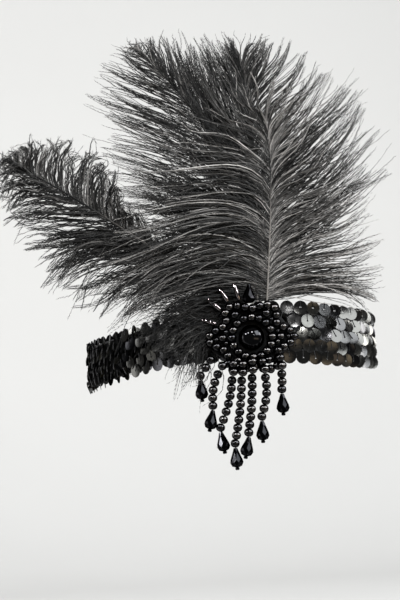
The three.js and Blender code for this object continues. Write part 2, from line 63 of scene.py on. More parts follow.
# Band: the face of its sequin rows from the frame, and its lower and upper edge by angle from +X
FACE_HALF_WIDTH = BAND_CORNER.x / MM
FACE_HALF_DEPTH = BAND_CORNER.y / MM
BAND_FACE = 2.2
HEAD_HALF_WIDTH = FACE_HALF_WIDTH - BAND_FACE
HEAD_HALF_DEPTH = FACE_HALF_DEPTH - BAND_FACE
EDGE_ANGLES = (0, 25, 60, 90, 120, 155, 180, 205, 225, 245, 270, 290, 310, 335, 360)
EDGE_LOW = (-9.5, -1.5, 5.5, 7.5, 2, -11, -19, -18, -14.5, -10.3, -12.3, -13.3, -14.8, -12.8, -9.5)
EDGE_HIGH = (17.5, 26, 33, 35, 29.5, 16.5, 7.5, 7, 10, 14, 17, 17.8, 16, 16.8, 17.5)
EDGE_EASE = 10
FINE_STEPS = 1440
# Knit: steps round the band and round a hem, and shares of the height by which hems lie inside and bulge
CLOTH_STEPS = 192
HEM_STEPS = 4
HEM_INSET = 0.1
HEM_ROUND = 0.018
KNIT_CHART = "Knit"
# Turn of the sequins over their neighbours in degrees, by angle from +X: more to the right, where they
# hang open
LAP_ANGLES = (0, 60, 180, 225, 270, 305, 335, 360)
LAP_TURN = (42, 14, 11, 13, 18, 26, 38, 42)
# Sequin rows from the lowest: share of the band's height, and how far the row faces upwards in degrees
SEQUIN_ROWS = ((0.08, -5), (0.27, -3), (0.48, 14), (0.69, 12), (0.91, 4))
# Sequins: height over the knit, run-in under the base, a point of the cup as shares of radius and rise,
# sides, and largest random spin
SEQUIN_STAND_OFF = 1.4
SEQUIN_RUN_IN = 2
SEQUIN_DISH = (0.66, 0.12)
SEQUIN_SIDES = 14
SEQUIN_SPIN = math.radians(25)
NO_TILT = (0.0, 0.0, 0.0)
# Stitches: length in sequin radii, shares of it along the path, half width, rise over the rim and dip at the
# ends in metres, and height in half widths
STITCH_LENGTH = 1.05
STITCH_SHARES = (-0.06, 0.1, 0.9, 1.02)
STITCH_HALF = 0.00016
STITCH_RISE = 0.00012
STITCH_DIP = 0.0002
STITCH_HEIGHT = 1.4

# Medallion, in (across, up, out) from the face of the band's front
FRONT_CURVE = FACE_HALF_WIDTH**2 / FACE_HALF_DEPTH
GAP = 0.3
BASE_FACE = 4.2
BASE_CENTRE = (-3.5, 0.5)
BASE_HALF = (21.0, 14.5)
BASE_BACK = 2.2
BASE_RIM = 0.35
BASE_RINGS = (0.35, 0.7, 0.98)
BASE_SIDES = 64
STONE_CENTRE = (-2.5, -1.0)
STONE_RADIUS = 6.4
STONE_GIRDLE = 0.8
STONE_HEIGHT = 6.6
STONE_EDGE = 0.25
STONE_STEPS = 14
STONE_SIDES = 48
INNER_RING_BEADS = 16
INNER_RING_RADIUS = 10.1
PETALS = 6
PETAL_STEPS = 360
PETAL_TIPS = (21.6, 18.0)
PETAL_DIPS = (14.7, 14.5)
# Bugles: direction from the stone in degrees, and length
BUGLES = ((106, 9.0), (121, 7.5), (136, 10.0), (157, 8.0))
BUGLE_RADIUS = 1.0
BUGLE_HOLE = 0.4
BUGLE_CLEARANCE = 0.45
BUGLE_CHAMFER = 0.2
BUGLE_SIDES = 14
BUGLE_STEPS = 9
# Beads: height and shoulder against a ball, random unevenness, and the nearest that a strand's bead comes to
# another in radii, found by moving it out in steps
BEAD_SQUASH = 0.9
BEAD_SHOULDER = 0.85
BEAD_STEPS = 9
BEAD_SIDES = 14
BEAD_UNEVENNESS = 0.02
BEAD_REACH = 1.9
PUSH_STEP = 0.1
THREAD_SIDES = 6
# Heaped beads: piece, setting of its radius and height of the heap; then the hole as a share of the radius,
# steps of the places tried, the innermost as a share of the petals' outline, and room at the stone in radii
HEAPS = (("heaped_beads", "heap_radius", 2.6), ("seed_beads", "seed_radius", 2.4))
HEAP_HOLE = 0.2
HEAP_TURN_STEP = 0.06
HEAP_SHARE_STEP = 0.03
HEAP_INNER = 0.35
HEAP_STONE_ROOM = 0.9
HEAP_TILT = (math.radians(70), math.radians(70), math.radians(180))

# Drops: share of radius by share of length, from the threaded tip down
DROP_PROFILE = (
    (0.0, 0.0), (0.28, 0.02), (0.5, 0.24), (0.9, 0.6), (1.0, 0.76), (0.74, 0.94), (0.3, 1.0), (0.0, 1.0)
)
DROP_LENGTH = 9.6
DROP_RADIUS = 3.35
DROP_SIDES = 9
# Stops under the drops: half height and place past the drop's end in radii, and the upper half of the profile
# as shares of radius and half height, from the hole out
STOP_HALF = 0.64
STOP_PAST_END = 0.6
STOP_PROFILE = ((0.4, 0.6), (0.55, 1.0), (0.86, 0.75))
STOP_SIDES = 12
TOP_DROP = {"across": -2.9, "up": 16.0, "lean": 4.0}

# Strands, left to right: sideways place of top and end, bow between, highest start, and lean of the drop
STRAND_PITCH = 3.85
STRANDS = (
    {"across": -23.6, "end": -28.7, "bow": 0.0, "from": -13.0, "lean": 2.0},
    {"across": -18.4, "end": -23.4, "bow": -1.6, "from": -14.0, "lean": -12.0},
    {"across": -13.0, "end": -20.2, "bow": 1.8, "from": -15.5, "lean": 9.0},
    {"across": -8.4, "end": -13.5, "bow": 1.0, "from": -15.5, "lean": 3.0},
    {"across": -3.6, "end": -6.6, "bow": 1.0, "from": -15.5, "lean": -12.0},
    {"across": 1.4, "end": 0.3, "bow": 2.6, "from": -15.5, "lean": 0.0},
    {"across": 10.4, "end": 11.2, "bow": 0.8, "from": -12.0, "lean": 1.0},
)

# Plumes: the quill's foot, the shaft's curve, how far the tips come forward, and the barbs of each side:
# place on the shaft, where the tip lies (across, up), angle from the shaft at the root, and fall of the tip;
# the tone pair is how much painted highlight the barbs of the left and right side get, which stands in for
# how brightly each side is lit, ahead the most that a tip comes further forward, curl and loose how much more
# than usual the barbs wave and scatter, and fluff more barbs at the foot
PLUMES = {
    "plume_front": {
        "foot": (7, -99.95, -6),
        "shaft": ((7, -99.95, 18), (9.5, -103.5, 48), (13, -107, 84), (10.5, -106, 110)),
        "forward": 7,
        "tone": (0.85, 2.7),
        "left": (
            (0, -58, 8, 88, 4),
            (0.025, -66, 8, 80, 7),
            (0.05, -74, 9, 70, 10),
            (0.08, -79, 11, 64, 13),
            (0.11, -83, 14, 58, 16),
            (0.15, -83, 20, 53, 14),
            (0.2, -82, 27, 48, 12),
            (0.25, -79, 37, 45, 9),
            (0.31, -75, 48, 42, 6),
            (0.37, -72, 58, 40, 5),
            (0.43, -68, 69, 38, 3),
            (0.56, -60, 87, 34, 0),
            (0.72, -40, 109, 28, -3),
            (0.88, -15, 127, 16, -3),
            (1, 2, 134, 6, -3),
        ),
        "right": (
            (0, 64, 10, 66, 12),
            (0.02, 67, 20, 60, 8),
            (0.04, 69, 30, 54, 2),
            (0.08, 68, 41, 46, -2),
            (0.13, 66, 54, 38, -4),
            (0.2, 63, 67, 32, -6),
            (0.3, 59, 78, 28, -7),
            (0.44, 53, 90, 25, -7),
            (0.6, 44, 104, 22, -6),
            (0.8, 29, 121, 16, -4),
            (1, 14, 134, 6, -2),
        ),
        "fluff": {
            "shaft": ((4, -100.6, 18.5), (-9, -101, 18), (-16, -101, 8), (-17, -100.9, -4)),
            "forward": 0.5,
            "ahead": 2.0,
            "curl": 2.2,
            "loose": 4.0,
            "tone": (0.07, 0.07),
            "right": (
                (0, -44, 16, 20, 3),
                (0.25, -68, 9, 40, 6),
                (0.5, -66, 1, 70, 5),
                (0.75, -53, -9, 86, 4),
                (1, -35, -22, 80, 4),
            ),
        },
    },
    "plume_tall": {
        "foot": (2.2, -100.3, -6),
        "shaft": ((2.2, -100.3, 18), (5, -96, 55), (7, -95, 98), (1, -97, 142)),
        "forward": 0,
        "tone": (0.16, 0.36),
        "left": (
            (0.05, -52, 60, 42, 4),
            (0.1, -53, 75, 39, 2),
            (0.16, -54, 90, 36, 0),
            (0.3, -46, 118, 31, -2),
            (0.42, -39, 138, 27, -3),
            (0.55, -33, 151, 24, -4),
            (0.68, -25, 157, 20, -4),
            (0.77, -19, 159, 16, -3),
            (0.86, -12, 160, 11, -3),
            (0.93, -7, 161, 7, -1),
            (1, -3, 162, 3, 0),
        ),
        "right": (
            (0.05, 66, 70, 46, 0),
            (0.13, 74, 90, 40, -2),
            (0.2, 77, 103, 36, -4),
            (0.28, 73, 114, 33, -6),
            (0.37, 69, 126, 30, -8),
            (0.46, 60, 135, 27, -8),
            (0.56, 50, 144, 24, -8),
            (0.68, 39, 152, 20, -6),
            (0.77, 30, 157, 15, -4),
            (0.86, 21, 160, 10, -3),
            (0.93, 14, 161, 7, -1),
            (1, 7, 162, 3, 0),
        ),
    },
    "plume_sweep": {
        "foot": (-0.6, -100.3, -6),
        "shaft": ((-0.6, -100.3, 18), (3, -90, 68), (-8, -89, 110), (-52, -86, 155)),
        "forward": -4,
        "tone": (0.36, 0.32),
        "left": (
            (0, -50, 24, 70, 3),
            (0.04, -56, 38, 58, 4),
            (0.08, -60, 52, 48, 5),
            (0.14, -65, 65, 46, 4),
            (0.2, -70, 78, 43, 3),
            (0.25, -72, 89, 42, 3),
            (0.3, -73, 99, 40, 2),
            (0.4, -77, 112, 38, 1),
            (0.51, -80, 125, 36, 0),
            (0.62, -82, 137, 33, -1),
            (0.74, -79, 147, 28, -1),
            (0.86, -69, 154, 18, -1),
            (1, -59, 162, 4, 0),
        ),
        "right": (
            (0.05, 7, 104, 14, 0),
            (0.2, 2, 122, 20, 0),
            (0.35, -9, 144, 22, -1),
            (0.5, -20, 157, 24, -2),
            (0.62, -28, 162, 25, -2),
            (0.76, -37, 165, 23, -2),
            (0.89, -46, 165, 15, -1),
            (1, -55, 164, 4, 0),
        ),
    },
    "plume_side": {
        "foot": (-3.5, -100.25, -4),
        "shaft": ((-8.5, -99.9, 15), (-30, -99.5, 32), (-82, -98, 72), (-117, -92, 92)),
        "forward": -2,
        "curl": 2.0,
        "tone": (0.18, 0.35),
        "left": (
            (0.16, -70, 12, 52, 8),
            (0.27, -86, 14, 50, 12),
            (0.35, -98, 20, 48, 7),
            (0.42, -107, 28, 46, 6),
            (0.455, -109, 33, 44, 6),
            (0.475, -114, 45, 43, 5),
            (0.54, -120, 52, 40, 4),
            (0.64, -124, 60, 37, 5),
            (0.74, -127, 67, 34, 5),
            (0.84, -128, 75, 30, 4),
            (0.93, -128, 84, 20, 2),
            (1, -129, 95, 4, 0),
        ),
        "right": (
            (0.16, -32, 38, 36, 2),
            (0.3, -48, 47, 38, 2),
            (0.42, -58, 57, 40, 3),
            (0.5, -64, 66, 42, 4),
            (0.56, -67, 77, 42, 6),
            (0.62, -69, 88, 42, 8),
            (0.68, -74, 97, 42, 9),
            (0.75, -82, 103, 40, 8),
            (0.83, -93, 106, 36, 6),
            (0.91, -105, 106, 28, 3),
            (0.96, -116, 103, 16, 1),
            (1, -126, 98, 4, 0),
        ),
    },
}
QUILL_RADIUS = 0.8
SHAFT_TIP_RADIUS = 0.4
SHAFT_STEPS = 28

BARB_SIDES = 3
BARB_STEPS = 10
# How far barbs differ by spray, by clump and singly: swing and lift in degrees, the rest in millimetres
BARB_SWING = (2.5, 3.0, 3.2)
BARB_AHEAD = (2.5, 3.5, 2.0)
BARB_LIFT = (4.0, 3.2, 5.0)
BARB_FALL = (1.8, 2.2, 2.2)
BARB_WAVE = (0.6, 0.8, 0.5)
BARB_WAVES = 1.4
# Lengths of barbs as shares of the table's, the share of short ones, how clumps are cut and how late their
# barbs draw together, and the share of strays and how much looser they lie
FULL_LENGTH = (0.85, 1.02)
SHORT_LENGTH = (0.4, 0.8)
SHORT_SHARE = 0.22
CLUMP_LENGTH = (0.88, 1.04)
CLUMP_SHIFT = 0.4
CLUMP_POWER = 1.6
STRAY_SHARE = 0.15
STRAY_LOOSE = 2.2
# Most that a tip comes further forward, and where a barb's two handles lie as shares of its reach
AHEAD_LIMIT = 7.0
ROOT_HANDLE = 0.42
TIP_HANDLE = 0.7
# Painted highlight of a barb: a share of the pale sheen colour painted into its colour, in streaks that vary
# with a shine by clump and by barb, less at the foot
PAINTED_SHEEN_SHARE = 0.1
SHINE_CLUMP = 0.45
SHINE_BARB = 0.9
SHINE_POWER = 1.6
SHINE_LIMIT = 1.6
FOOT_SPREAD = (0, 0.35)
FOOT_SHEEN = (0.2, 1)
# Thickness of barbs as shares of the setting, from barb to barb and along each
BARB_STOUT = (0.6, 1.1)
TAPER_AT = (0, 0.3, 0.6, 1)
TAPER = (0.7, 1.0, 0.8, 0.12)
# Barbules: least and most lean and the shortest as shares of their settings, and loss of length to the tip
BARBULE_LEANS = (0.5, 1.5)
BARBULE_SHORTEST = 0.5
BARBULE_TAPER = 0.55
# Share of its strip of the texture that a barb fills
STRIP_FILL = 0.8

# Tint of the reflection at the edges of foil and of beads and glass
FOIL_EDGE = (0.3, 0.3, 0.3, 1.0)
GLOSS_EDGE = (0.12, 0.12, 0.12, 1.0)


def length_setting(name, description, default):
    """A setting that is a length in metres."""
    return FloatProperty(name=name, description=description, default=default, unit="LENGTH")


def angle_setting(name, description, degrees):
    """A setting that is an angle."""
    return FloatProperty(name=name, description=description, default=math.radians(degrees), subtype="ANGLE")


def colour_setting(name, description, default):
    """A setting that is a colour."""
    return FloatVectorProperty(name=name, description=description, default=default, subtype="COLOR")


def count_setting(name, description, default):
    """A setting that is a whole number."""
    return IntProperty(name=name, description=description, default=default)


class BandSettings(bpy.types.PropertyGroup):
    """Sizes and colours of the band and its sequins."""

    cloth_thickness: length_setting("Cloth thickness", "Wall of the knitted band", 0.001)
    sequins_a_row: count_setting("Sequins a row", "Sequins in one turn of the band", 73)
    sequin_radius: length_setting("Sequin radius", "Outer radius", 0.0036)
    sequin_hole: length_setting("Sequin hole", "Radius of the hole", 0.0005)
    sequin_cup: length_setting("Sequin cup", "Rise of the rim", 0.00015)
    sequin_thickness: length_setting("Sequin thickness", "Thickness of the foil", 0.0002)
    sequin_tilt: angle_setting("Tilt", "Largest random tilt", 11)
    sequin_dark: colour_setting("Dark sequin", "Darkest sequin colour", (0.02, 0.02, 0.022))
    sequin_pale: colour_setting("Pale sequin", "Palest sequin colour", (0.064, 0.063, 0.058))
    cloth_colour: colour_setting("Cloth", "Colour of the knit", (0.004, 0.004, 0.0045))
    seed: count_setting("Seed", "Seed of the sequins' tilt", 11)


class BeadSettings(bpy.types.PropertyGroup):
    """Sizes and colours of the beads, the stone and the drops."""

    bead_radius: length_setting("Bead radius", "Round beads", 0.00235)
    bead_hole: length_setting("Bead hole", "Radius of the hole", 0.00045)
    thread_radius: length_setting("Thread radius", "Stringing thread", 0.0003)
    stop_radius: length_setting("Stop radius", "Seed bead under a drop", 0.0011)
    heap_radius: length_setting("Heaped radius", "Beads between the rings", 0.0022)
    seed_radius: length_setting("Seed radius", "Seed beads in the gaps", 0.0011)
    pearl_dark: colour_setting("Dark pearl", "Darkest bead colour", (0.022, 0.022, 0.024))
    pearl_pale: colour_setting("Pale pearl", "Palest bead colour", (0.064, 0.061, 0.06))
    glass_colour: colour_setting("Stone", "Colour of the stone", (0.014, 0.014, 0.015))
    drop_colour: colour_setting("Drops", "Colour of the drops", (0.006, 0.006, 0.0065))
    bugle_colour: colour_setting("Bugles", "Colour of the bugles", (0.17, 0.15, 0.15))
    felt_colour: colour_setting("Felt", "Colour of the felt base", (0.003, 0.003, 0.0033))
    seed: count_setting("Seed", "Seed of the beads' unevenness", 5)


class PlumeSettings(bpy.types.PropertyGroup):
    """Sizes and colours of the plumes."""

    barbs_a_side: count_setting("Barbs a side", "Barbs on each side of a shaft", 440)
    fluff_barbs: count_setting("Fluff barbs", "Barbs of the fluff at a quill's foot", 330)
    sprays_a_side: count_setting("Sprays a side", "Broad groups that lie alike", 13)
    clumps_a_side: count_setting("Clumps a side", "Groups that the tips draw into", 95)
    barb_radius: length_setting("Barb radius", "At its middle", 0.0003)
    barbule_radius: length_setting("Barbule radius", "At its foot", 0.00015)
    barbule_length: length_setting("Barbule length", "Longest", 0.0048)
    barbules: count_setting("Barbules", "Barbules of one plume", 29000)
    barbule_lean: angle_setting("Barbule lean", "From the barb", 17)
    clumping: FloatProperty(
        name="Clumping", description="How far tips draw together", default=0.85, subtype="FACTOR"
    )
    barb_dark: colour_setting("Dark barb", "Darkest barb colour", (0.001, 0.001, 0.001))
    # The palest barb colour is a painted sheen: the grey of highlight streaks painted into the barbs
    barb_painted_sheen: colour_setting("Pale barb", "Palest barb colour", (0.36, 0.345, 0.33))
    shaft_colour: colour_setting("Shaft", "Colour of the shaft", (0.15, 0.14, 0.13))
    seed: count_setting("Seed", "Seed of the barbs' spread", 23)


class StageSettings(bpy.types.PropertyGroup):
    """Camera and floor."""

    distance: length_setting("Distance", "Camera to medallion", 0.6)
    lens: FloatProperty(name="Lens", description="Focal length in millimetres", default=72.0)
    azimuth: angle_setting("Azimuth", "Round the band", -6.5)
    elevation: angle_setting("Elevation", "Above level", -8)
    roll: angle_setting("Roll", "Tip of the camera", 2.6)
    floor_height: length_setting("Floor", "Height of the floor", -0.2)
    floor_colour: colour_setting("Floor colour", "Colour of floor and backdrop", (0.53, 0.525, 0.515))


# Meshes


def link_piece(name, mesh, finish=None):
    """A mesh as an object of the scene, at the origin, in a finish where it has none yet."""
    if finish:
        mesh.materials.append(finish_named(finish))
    piece = bpy.data.objects.new(name, mesh)
    bpy.context.scene.collection.objects.link(piece)
    return piece


def closed_mesh(name, points, faces, smooth_degrees=None, chart=()):
    """A mesh with its faces pointing outwards, smooth up to an angle between faces, or flat."""
    mesh = bpy.data.meshes.new(name)
    mesh.from_pydata([tuple(p) for p in points], [], faces)
    if len(chart):
        layer = mesh.uv_layers.new(name=KNIT_CHART)
        layer.data.foreach_set("uv", np.array(chart, np.float32).ravel())
    work = bmesh.new()
    work.from_mesh(mesh)
    bmesh.ops.recalc_face_normals(work, faces=work.faces)
    work.to_mesh(mesh)
    work.free()
    if smooth_degrees is not None:
        mesh.shade_smooth()
        mesh.set_sharp_from_angle(angle=math.radians(smooth_degrees))
    return mesh


def row_faces(rows, sides, closed=False):
    """Faces between rows of points that each run once round, and from the last row to the first if closed."""
    faces = []
    for row in range(rows if closed else rows - 1):
        here, there = row * sides, (row + 1) % rows * sides
        for k in range(sides):
            l = (k + 1) % sides
            faces.append([here + k, here + l, there + l, there + k])
    return faces


def turned(profile, sides, ring=False, stagger=False):
    """Points and faces of (radius, height) pairs turned about Z: a closed ring, or with ends on the axis."""
    points, rows = [], []
    for step, (radius, height) in enumerate(profile):
        if radius == 0:
            rows.append([len(points)] * sides)
            points.append((0.0, 0.0, height))
            continue
        rows.append(list(range(len(points), len(points) + sides)))
        half = 0.5 * (step % 2) if stagger else 0.0
        for k in range(sides):
            turn = 2 * math.pi * (k + half) / sides
            points.append((radius * math.cos(turn), radius * math.sin(turn), height))
    faces = []
    spans = list(zip(rows, rows[1:])) + ([(rows[-1], rows[0])] if ring else [])
    for step, (here, there) in enumerate(spans):
        for k in range(sides):
            l = (k + 1) % sides
            if not stagger:
                corners = [[here[k], here[l], there[l], there[k]]]
            elif step % 2:
                corners = [[here[k], there[l], there[k]], [here[k], here[l], there[l]]]
            else:
                corners = [[here[k], here[l], there[k]], [here[l], there[l], there[k]]]
            for face in corners:
                face = list(dict.fromkeys(face))
                if len(face) > 2:
                    faces.append(face)
    return points, faces


def point_guide(name, places, facing, along):
    """A mesh of loose points in metres that carry the way they face and the way their row runs."""
    mesh = bpy.data.meshes.new(name)
    mesh.from_pydata([tuple(p) for p in places], [], [])
    for key, values in (("facing", facing), ("along", along)):
        layer = mesh.attributes.new(key, "FLOAT_VECTOR", "POINT")
        layer.data.foreach_set("vector", np.asarray(values, np.float32).ravel())
    return mesh


def line_guide(name, places, loop):
    """A mesh of one line in metres through places, closed or open."""
    mesh = bpy.data.meshes.new(name)
    count = len(places)
    links = [(k, (k + 1) % count) for k in range(count if loop else count - 1)]
    mesh.from_pydata([tuple(p) for p in places], links, [])
    return mesh


# Node trees


def add_node(tree, kind, settings=(), inputs=()):
    """A new node, its settings made, and each input in use set to a value or fed by another node's socket."""
    made = tree.nodes.new(kind)
    for key, value in dict(settings).items():
        setattr(made, key, value)
    for key, value in dict(inputs).items():
        socket = made.inputs[key] if isinstance(key, int) else live(made.inputs, key)
        if isinstance(value, bpy.types.NodeSocket):
            tree.links.new(value, socket)
        else:
            socket.default_value = value
    return made


def live(sockets, name):
    """The socket of that name that the node's settings leave in use."""
    return next(s for s in sockets if s.name == name and s.enabled)


def new_tree(name, inputs):
    """A geometry node tree with a guide, the named inputs, and one result."""
    tree = bpy.data.node_groups.new(name, "GeometryNodeTree")
    tree.is_modifier = True
    tree.interface.new_socket("Guide", in_out="INPUT", socket_type="NodeSocketGeometry")
    for key, kind in inputs:
        tree.interface.new_socket(key, in_out="INPUT", socket_type=f"NodeSocket{kind}")
    tree.interface.new_socket("Result", in_out="OUTPUT", socket_type="NodeSocketGeometry")
    return tree, tree.nodes.new("NodeGroupInput").outputs


def named_value(tree, name, kind="FLOAT"):
    """A value that the guide carries."""
    made = add_node(tree, "GeometryNodeInputNamedAttribute", {"data_type": kind}, {"Name": name})
    return live(made.outputs, "Attribute")


def random_value(tree, low, high, seed, kind="FLOAT"):
    """A random value for each element."""
    inputs = {"Min": low, "Max": high, "Seed": seed}
    return live(add_node(tree, "FunctionNodeRandomValue", {"data_type": kind}, inputs).outputs, "Value")


def arithmetic(tree, operation, first, second):
    """One sum, with values or sockets."""
    return add_node(tree, "ShaderNodeMath", {"operation": operation}, {0: first, 1: second}).outputs["Value"]


def vector_of(tree, **parts):
    """A vector from its parts."""
    return add_node(tree, "ShaderNodeCombineXYZ", (), parts).outputs["Vector"]


def store(tree, geometry, name, value, domain, kind="FLOAT"):
    """Geometry with a value kept on it under a name."""
    settings = {"data_type": kind, "domain": domain}
    inputs = {"Geometry": geometry, "Name": name, "Value": value}
    return add_node(tree, "GeometryNodeStoreNamedAttribute", settings, inputs).outputs["Geometry"]


def pointed(tree, axis, vector, inputs=(), settings=()):
    """A rotation that points an axis along a vector."""
    settings, inputs = {"axis": axis, **dict(settings)}, {"Vector": vector, **dict(inputs)}
    return add_node(tree, "FunctionNodeAlignRotationToVector", settings, inputs).outputs["Rotation"]


def turned_by(tree, rotation, angles):
    """A rotation with a turn added in its own frame."""
    turn = add_node(tree, "FunctionNodeEulerToRotation", (), {"Euler": angles})
    inputs = {"Rotation": rotation, "Rotate By": turn.outputs["Rotation"]}
    made = add_node(tree, "FunctionNodeRotateRotation", {"rotation_space": "LOCAL"}, inputs)
    return made.outputs["Rotation"]


def set_at_points(tree, points, shape, rotation, inputs=()):
    """One shape at each point, turned."""
    inputs = {"Points": points, "Instance": shape, "Rotation": rotation, **dict(inputs)}
    return add_node(tree, "GeometryNodeInstanceOnPoints", (), inputs).outputs["Instances"]


def toned(tree, instances, seed):
    """Instances that each carry a tone of their own."""
    tone = random_value(tree, 0.0, 1.0, arithmetic(tree, "ADD", seed, 1.0))
    return store(tree, instances, "tone", tone, "INSTANCE")


def joined(tree, parts):
    """Geometry of several parts."""
    made = tree.nodes.new("GeometryNodeJoinGeometry")
    for part in parts:
        tree.links.new(part, made.inputs["Geometry"])
    return made.outputs["Geometry"]


def dressed(tree, geometry, finish):
    """Geometry in a finish."""
    inputs = {"Geometry": geometry, "Material": finish}
    return add_node(tree, "GeometryNodeSetMaterial", (), inputs).outputs["Geometry"]


def realized(tree, geometry):
    """Geometry with its instances made real."""
    return add_node(tree, "GeometryNodeRealizeInstances", (), {"Geometry": geometry}).outputs["Geometry"]


def end_tree(tree, geometry, finish, extra=()):
    """Realizes a tree's geometry, gives it its finish, and joins parts that have one already."""
    result = dressed(tree, realized(tree, geometry), finish)
    if extra:
        result = joined(tree, (result, *extra))
    add_node(tree, "NodeGroupOutput", (), {"Result": result})
    return tree


def shape_of(tree, maker):
    """The shape of an object that a tree repeats."""
    return add_node(tree, "GeometryNodeObjectInfo", (), {"Object": maker}).outputs["Geometry"]


def curve_of(tree, guide):
    """The lines of a guide as curves."""
    return add_node(tree, "GeometryNodeMeshToCurve", (), {"Mesh": guide}).outputs["Curve"]


def sewn_rows_tree():
    """A tree that sets one shape at each point, facing outwards, with a random tilt."""
    inputs = (("Shape", "Object"), ("Tilt", "Vector"), ("Seed", "Int"), ("Finish", "Material"))
    tree, given = new_tree("sewn_rows", inputs)
    points = add_node(tree, "GeometryNodeMeshToPoints", (), {"Mesh": given["Guide"]}).outputs["Points"]
    facing = pointed(tree, "Z", named_value(tree, "facing", "FLOAT_VECTOR"))
    row_way = named_value(tree, "along", "FLOAT_VECTOR")
    along = pointed(tree, "X", row_way, {"Rotation": facing}, {"pivot_axis": "Z"})
    under = add_node(tree, "ShaderNodeVectorMath", {"operation": "SCALE"}, {0: given["Tilt"], "Scale": -1.0})
    shake = random_value(tree, under.outputs["Vector"], given["Tilt"], given["Seed"], "FLOAT_VECTOR")
    placed = set_at_points(tree, points, shape_of(tree, given["Shape"]), turned_by(tree, along, shake))
    return end_tree(tree, toned(tree, placed, given["Seed"]), given["Finish"])


def strung_beads_tree():
    """A tree that strings one bead at each point of a line, on a thread."""
    inputs = (
        ("Shape", "Object"), ("Thread Radius", "Float"), ("Unevenness", "Float"), ("Seed", "Int"),
        ("Finish", "Material"), ("Thread Finish", "Material"),
    )
    tree, given = new_tree("strung_beads", inputs)
    line = curve_of(tree, given["Guide"])
    points = add_node(tree, "GeometryNodeCurveToPoints", {"mode": "EVALUATED"}, {"Curve": line}).outputs
    rotation = pointed(tree, "Z", points["Tangent"])
    smaller = arithmetic(tree, "SUBTRACT", 1.0, given["Unevenness"])
    size = random_value(tree, smaller, 1.0, given["Seed"])
    bead = shape_of(tree, given["Shape"])
    placed = set_at_points(tree, points["Points"], bead, rotation, {"Scale": size})
    circle = {"Resolution": THREAD_SIDES, "Radius": given["Thread Radius"]}
    section = add_node(tree, "GeometryNodeCurvePrimitiveCircle", (), circle).outputs["Curve"]
    sweep = {"Curve": line, "Profile Curve": section, "Fill Caps": True}
    thread = add_node(tree, "GeometryNodeCurveToMesh", (), sweep).outputs["Mesh"]
    strung = dressed(tree, thread, given["Thread Finish"])
    return end_tree(tree, toned(tree, placed, given["Seed"]), given["Finish"], (strung,))


def barbs_tree():
    """A tree that makes each line of a plume's guide a tapered barb, and sets fine barbules along it."""
    inputs = (
        ("Barbule Radius", "Float"), ("Barbule Length", "Float"), ("Barbule Spacing", "Float"),
        ("Barbule Lean", "Float"), ("Strip Height", "Float"), ("Seed", "Int"), ("Finish", "Material"),
    )
    tree, given = new_tree("barbs", inputs)
    line = curve_of(tree, given["Guide"])
    circle = {"Resolution": BARB_SIDES, "Radius": 1.0}
    section = add_node(tree, "GeometryNodeCurvePrimitiveCircle", (), circle).outputs["Curve"]
    round_share = tree.nodes.new("GeometryNodeSplineParameter").outputs["Factor"]
    section = store(tree, section, "around", round_share, "POINT")
    thickness = named_value(tree, "thickness")
    sweep = {"Curve": line, "Profile Curve": section, "Scale": thickness, "Fill Caps": True}
    tube = add_node(tree, "GeometryNodeCurveToMesh", (), sweep).outputs["Mesh"]
    spacing = {"Curve": line, "Length": given["Barbule Spacing"]}
    points = add_node(tree, "GeometryNodeCurveToPoints", {"mode": "LENGTH"}, spacing).outputs
    cone = {
        "Vertices": BARB_SIDES, "Radius Top": 0.0, "Radius Bottom": given["Barbule Radius"], "Depth": 1.0
    }
    spike = add_node(tree, "GeometryNodeMeshCone", {"fill_type": "NGON"}, cone).outputs["Mesh"]
    spin = random_value(tree, 0.0, 2 * math.pi, given["Seed"])
    narrow, wide = (arithmetic(tree, "MULTIPLY", given["Barbule Lean"], by) for by in BARBULE_LEANS)
    lean = random_value(tree, narrow, wide, arithmetic(tree, "ADD", given["Seed"], 1.0))
    bend = vector_of(tree, X=lean, Y=0.0, Z=spin)
    rotation = turned_by(tree, pointed(tree, "Z", points["Tangent"]), bend)
    shorter = arithmetic(tree, "MULTIPLY", given["Barbule Length"], BARBULE_SHORTEST)
    length_seed = arithmetic(tree, "ADD", given["Seed"], 2.0)
    length = random_value(tree, shorter, given["Barbule Length"], length_seed)
    loss = arithmetic(tree, "MULTIPLY", named_value(tree, "along"), BARBULE_TAPER)
    height = arithmetic(tree, "MULTIPLY", length, arithmetic(tree, "SUBTRACT", 1.0, loss))
    inputs = {
        "Selection": arithmetic(tree, "LESS_THAN", named_value(tree, "shaft"), 0.5),
        "Scale": vector_of(tree, X=1.0, Y=1.0, Z=height),
    }
    barbules = set_at_points(tree, points["Points"], spike, rotation, inputs)
    real = realized(tree, joined(tree, (tube, barbules)))
    rise = arithmetic(tree, "MULTIPLY", named_value(tree, "around"), given["Strip Height"])
    strip = arithmetic(tree, "ADD", named_value(tree, "strip"), rise)
    chart = vector_of(tree, X=named_value(tree, "along"), Y=strip)
    mapped = store(tree, real, "OFBake", chart, "CORNER", "FLOAT2")
    return end_tree(tree, mapped, given["Finish"])


def tree_named(name):
    """One of the geometry node trees, made on first use."""
    makers = {"sewn_rows": sewn_rows_tree, "strung_beads": strung_beads_tree, "barbs": barbs_tree}
    return bpy.data.node_groups.get(name) or makers[name]()


